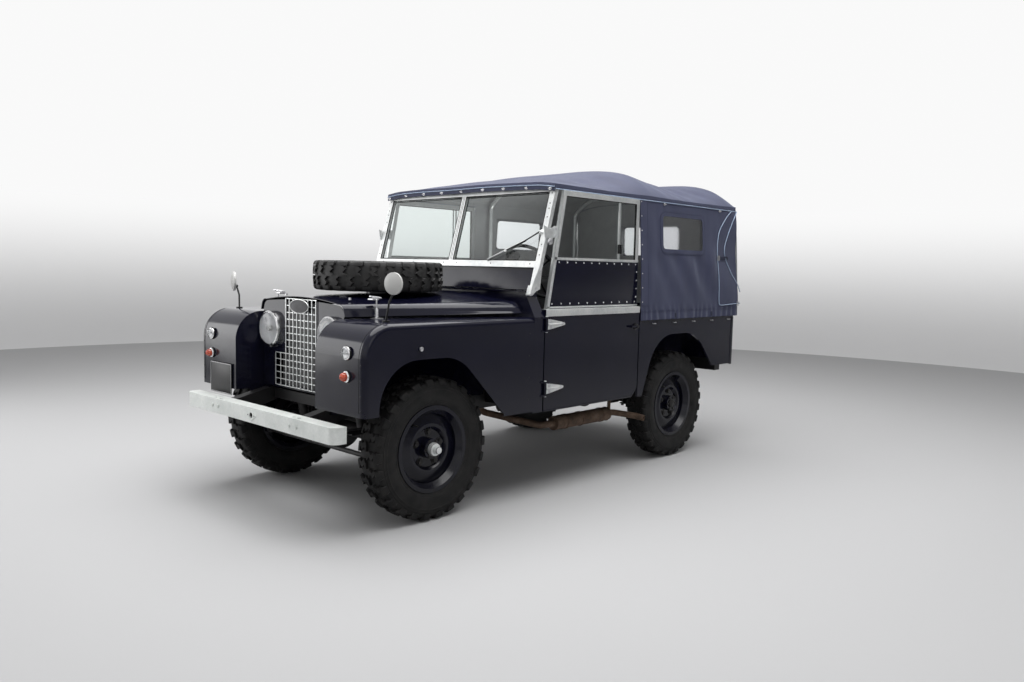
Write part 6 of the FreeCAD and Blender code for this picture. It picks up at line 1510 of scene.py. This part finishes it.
# Cab: dials, switches, pedal pads and gaiter.
cab = {
    "dash": 0.4373, "panel": (0.155, 1.032, 1.142), "dials": [(0.062, 1.088), (-0.062, 1.088)],
    "pedals": (0.23, 0.32, 0.41), "pedalFace": 0.3723,
    "switches": [(-0.138, 1.05), (-0.122, 1.05), (0.122, 1.05), (0.138, 1.05), (0.0, 1.05), (0.0, 1.12)],
    "lever": (0.2275, 0.0, 0.7206),
    "rim": [(0.003, 0.0), (0.003, 0.0515), (0.009, 0.0515), (0.011, 0.049), (0.009, 0.0465)],
    "face": [(0.0036, 0.047), (0.0075, 0.046), (0.0076, 0)],
    "switch": [(0.003, 0.004), (0.012, 0.004), (0.013, 0.0085), (0.02, 0.0085), (0.022, 0.0)],
    "gaiter": [(0.0, 0.0), (0.0, 0.052), (0.006, 0.05), (0.012, 0.038), (0.016, 0.041), (0.021, 0.033),
               (0.027, 0.035), (0.034, 0.024), (0.04, 0.025), (0.055, 0.013), (0.062, 0.0095), (0.064, 0.0083)],
}


def makeCab():
    c = cab
    x, face, back = c["dash"], c["pedalFace"], (-1, 0, 0)
    half, z0, z1 = c["panel"]
    built("dashPanel", "chassisBlack", [(addBox, (x - 0.003, -half, z0), (x, half, z1), 0.001)])
    marks = []
    for y, z in c["dials"]:
        marks.append((addTube, [(x - 0.0092, y, z), (x - 0.0092, y + 0.02, z + 0.03)], [0.0016, 0.0006], 6))
        for a in (math.radians(-130 + 26 * k) for k in range(11)):
            marks.append((addTube, [(x - 0.0082, y + r * math.sin(a), z + r * math.cos(a)) for r in (0.036, 0.042)],
                          0.0009, 5))
    knobs = [(addLathe, c["switch"], (x, y, z), back, 16) for y, z in c["switches"]]
    for y in c["pedals"]:
        knobs.append((addBox, (face - 0.005, y - 0.029, 0.679), (face - 0.0002, y + 0.029, 0.741), 0.002))
        knobs += [(addBox, (face - 0.007, y - 0.026, z), (face - 0.0045, y + 0.026, z + 0.0045), 0.0006)
                  for z in (0.684 + 0.0096 * k for k in range(6))]
    knobs.append((addLathe, c["gaiter"], c["lever"], (0, 0, 1), 36))
    for name, finish, profile in (("dialRims", "chrome", "rim"), ("dialFaces", "bakelite", "face")):
        built(name, finish, [(addLathe, c[profile], (x, y, z), back, 40) for y, z in c["dials"]])
    built("dialMarks", "plateEnamel", marks)
    built("cabKnobs", "sealRubber", knobs)


makeCab()
print("cab detailed")


# Running gear: spring plates and U-bolts, dampers, exhaust bands.
gear = {
    "springY": 0.35, "nut": [(0, 0.0), (0, 0.0105), (0.011, 0.0105), (0.012, 0)], "damper": 0.024,
    "uBolt": [(-0.037, 0.318), (-0.037, 0.457), (-0.03, 0.464), (0.03, 0.464), (0.037, 0.457), (0.037, 0.318)],
    "silencer": (0.58, 0.345), "bands": (-0.33, -0.12, 0.02), "seams": (-0.39, 0.063),
    "band": [(-0.009, 0.0434), (-0.009, 0.046), (0.009, 0.046), (0.009, 0.0434)],
    "seam": [(-0.004, 0.043), (-0.003, 0.0452), (0.003, 0.0452), (0.004, 0.043)],
}


def makeRunningGear():
    c = gear
    plates, bolts, dampers = [], [], []
    for x, lean in ((tyres["axles"]["front"], 0.05), (tyres["axles"]["rear"], -0.05)):
        for side in (1, -1):
            y = side * c["springY"]
            for u in (x - 0.045, x + 0.045):
                bolts.append((addTube, [(u, y + v, z) for v, z in c["uBolt"]], 0.0058, 8))
                bolts += [(addLathe, c["nut"], (u, y + v, 0.316), (0, 0, -1), 6) for v in (-0.037, 0.037)]
            plates.append((addBox, (x - 0.062, y - 0.05, 0.3175), (x + 0.062, y + 0.05, 0.3255), 0.002))
            inner, foot = y - side * 0.075, x + 0.09
            knee, head = foot + lean * 0.6, foot + lean
            dampers += [(addTube, [(foot, inner, 0.335), (knee, inner, 0.44)], c["damper"], 18),
                        (addTube, [(knee, inner, 0.43), (head, inner, 0.54)], c["damper"] * 1.16, 18),
                        (addTube, [(x + 0.05, inner, 0.333), (x + 0.13, inner, 0.333)], 0.009)]
    built("springPlates", "chassisBlack", plates)
    built("springBolts", "castAlloy", bolts)
    built("dampers", "chassisBlack", dampers)
    built("silencerBands", "rust", [(addLathe, c[profile], (x, *c["silencer"]), (1, 0, 0), 40)
                                    for profile, xs in (("band", c["bands"]), ("seam", c["seams"])) for x in xs])


makeRunningGear()
print("running gear detailed")


# Rear: tub corners, tailgate capping, rivets, hood cleats, chains, blank rear plate.
rear = {
    "face": -1.6548, "gate": -1.662, "side": 0.7752, "gateTop": 1.016, "gateHalf": 0.588,
    "cleats": (-0.62, -0.86, -1.1, -1.34, -1.58), "corner": (0.60, 0.95), "plate": (0.605, 0.765, 0.905, 0.975),
    "hook": [(-0.014, 0.7752, 0.936), (-0.014, 0.784, 0.934), (0.014, 0.784, 0.934), (0.014, 0.7752, 0.936)],
    "waistRivets": (-0.52, -0.66, -0.8, -0.94, -1.08, -1.22, -1.36, -1.5, -1.62),
    "frontRivets": (0.56, 0.64, 0.72, 0.8, 0.88),
    "chainStud": [(0, 0.011), (0.006, 0.011), (0.007, 0.005), (0.014, 0.005), (0.0145, 0)],
}


def makeRear():
    c = rear
    x, gate, top = c["face"], c["gate"], c["gateTop"]
    back = (-1, 0, 0)
    cappings, spots, hooks, chains = [], [], [], []
    for side in (1, -1):
        out = (0, side, 0)
        cappings += [
            (addPlate, [(x - 0.0002, side * y, z) for y, z in corners(0.775, 0.745, *c["corner"])], back, 0.0022,
             0.0006),
            (addPlate, [(x + u, side * 0.7751, z) for u, z in corners(0.03, -0.002, *c["corner"])], out, 0.002,
             0.0006)]
        spots += [((x + 0.014, side * 0.7772, 0.63 + 0.06 * k), out) for k in range(6)]
        spots += [((u, side * c["side"], 0.946), out) for u in c["waistRivets"]]
        spots += [((-0.478, side * c["side"], z), out) for z in c["frontRivets"]]
        for u in c["cleats"]:
            hooks.append((addTube, [(u + v, side * y, z) for v, y, z in c["hook"]], 0.0028, 8))
        for k in range(13):
            a, turn = k / 12, 0.6 if k % 2 else -0.6
            centre = Vector((x - 0.008 - 0.012 * math.sin(math.pi * a), side * (0.66 - 0.05 * a),
                             0.97 - 0.12 * math.sin(math.pi * a * 0.5)))
            oval = [centre + Vector((0.0035 * math.cos(t) * turn, 0.0045 * math.cos(t), 0.0085 * math.sin(t)))
                    for t in circle(10)]
            chains.append((addTube, oval, 0.0014, 6, True))
        chains.append((addLathe, c["chainStud"], (x, side * 0.66, 0.972), back, 16))
    built("cornerCappings", "navyPaint", cappings)
    fixings("tubRivets", spots, "rivets", 0.0042, 0.0018, "navyPaint")
    built("hoodCleats", "brightSteel", hooks)
    ribs = [(addBox, (gate - 0.0045, y - 0.016, 0.70), (gate - 0.0002, y + 0.016, top - 0.03), 0.0012)
            for y in (-0.42, 0.0, 0.42)]
    half = c["gateHalf"]
    capping = (addBox, (gate - 0.005, -half, top - 0.028), (gate + 0.024, half, top + 0.0015), 0.0015)
    built("gateCapping", "zinc", [capping] + ribs, "tailgate_body")
    built("gateChains", "brightSteel", chains)
    y0, y1, z0, z1 = c["plate"]
    built("rearPlate", "plateBlack", [(addBox, (x - 0.008, y0, z0), (x - 0.0055, y1, z1), 0.001)])


makeRear()
print("rear detailed")
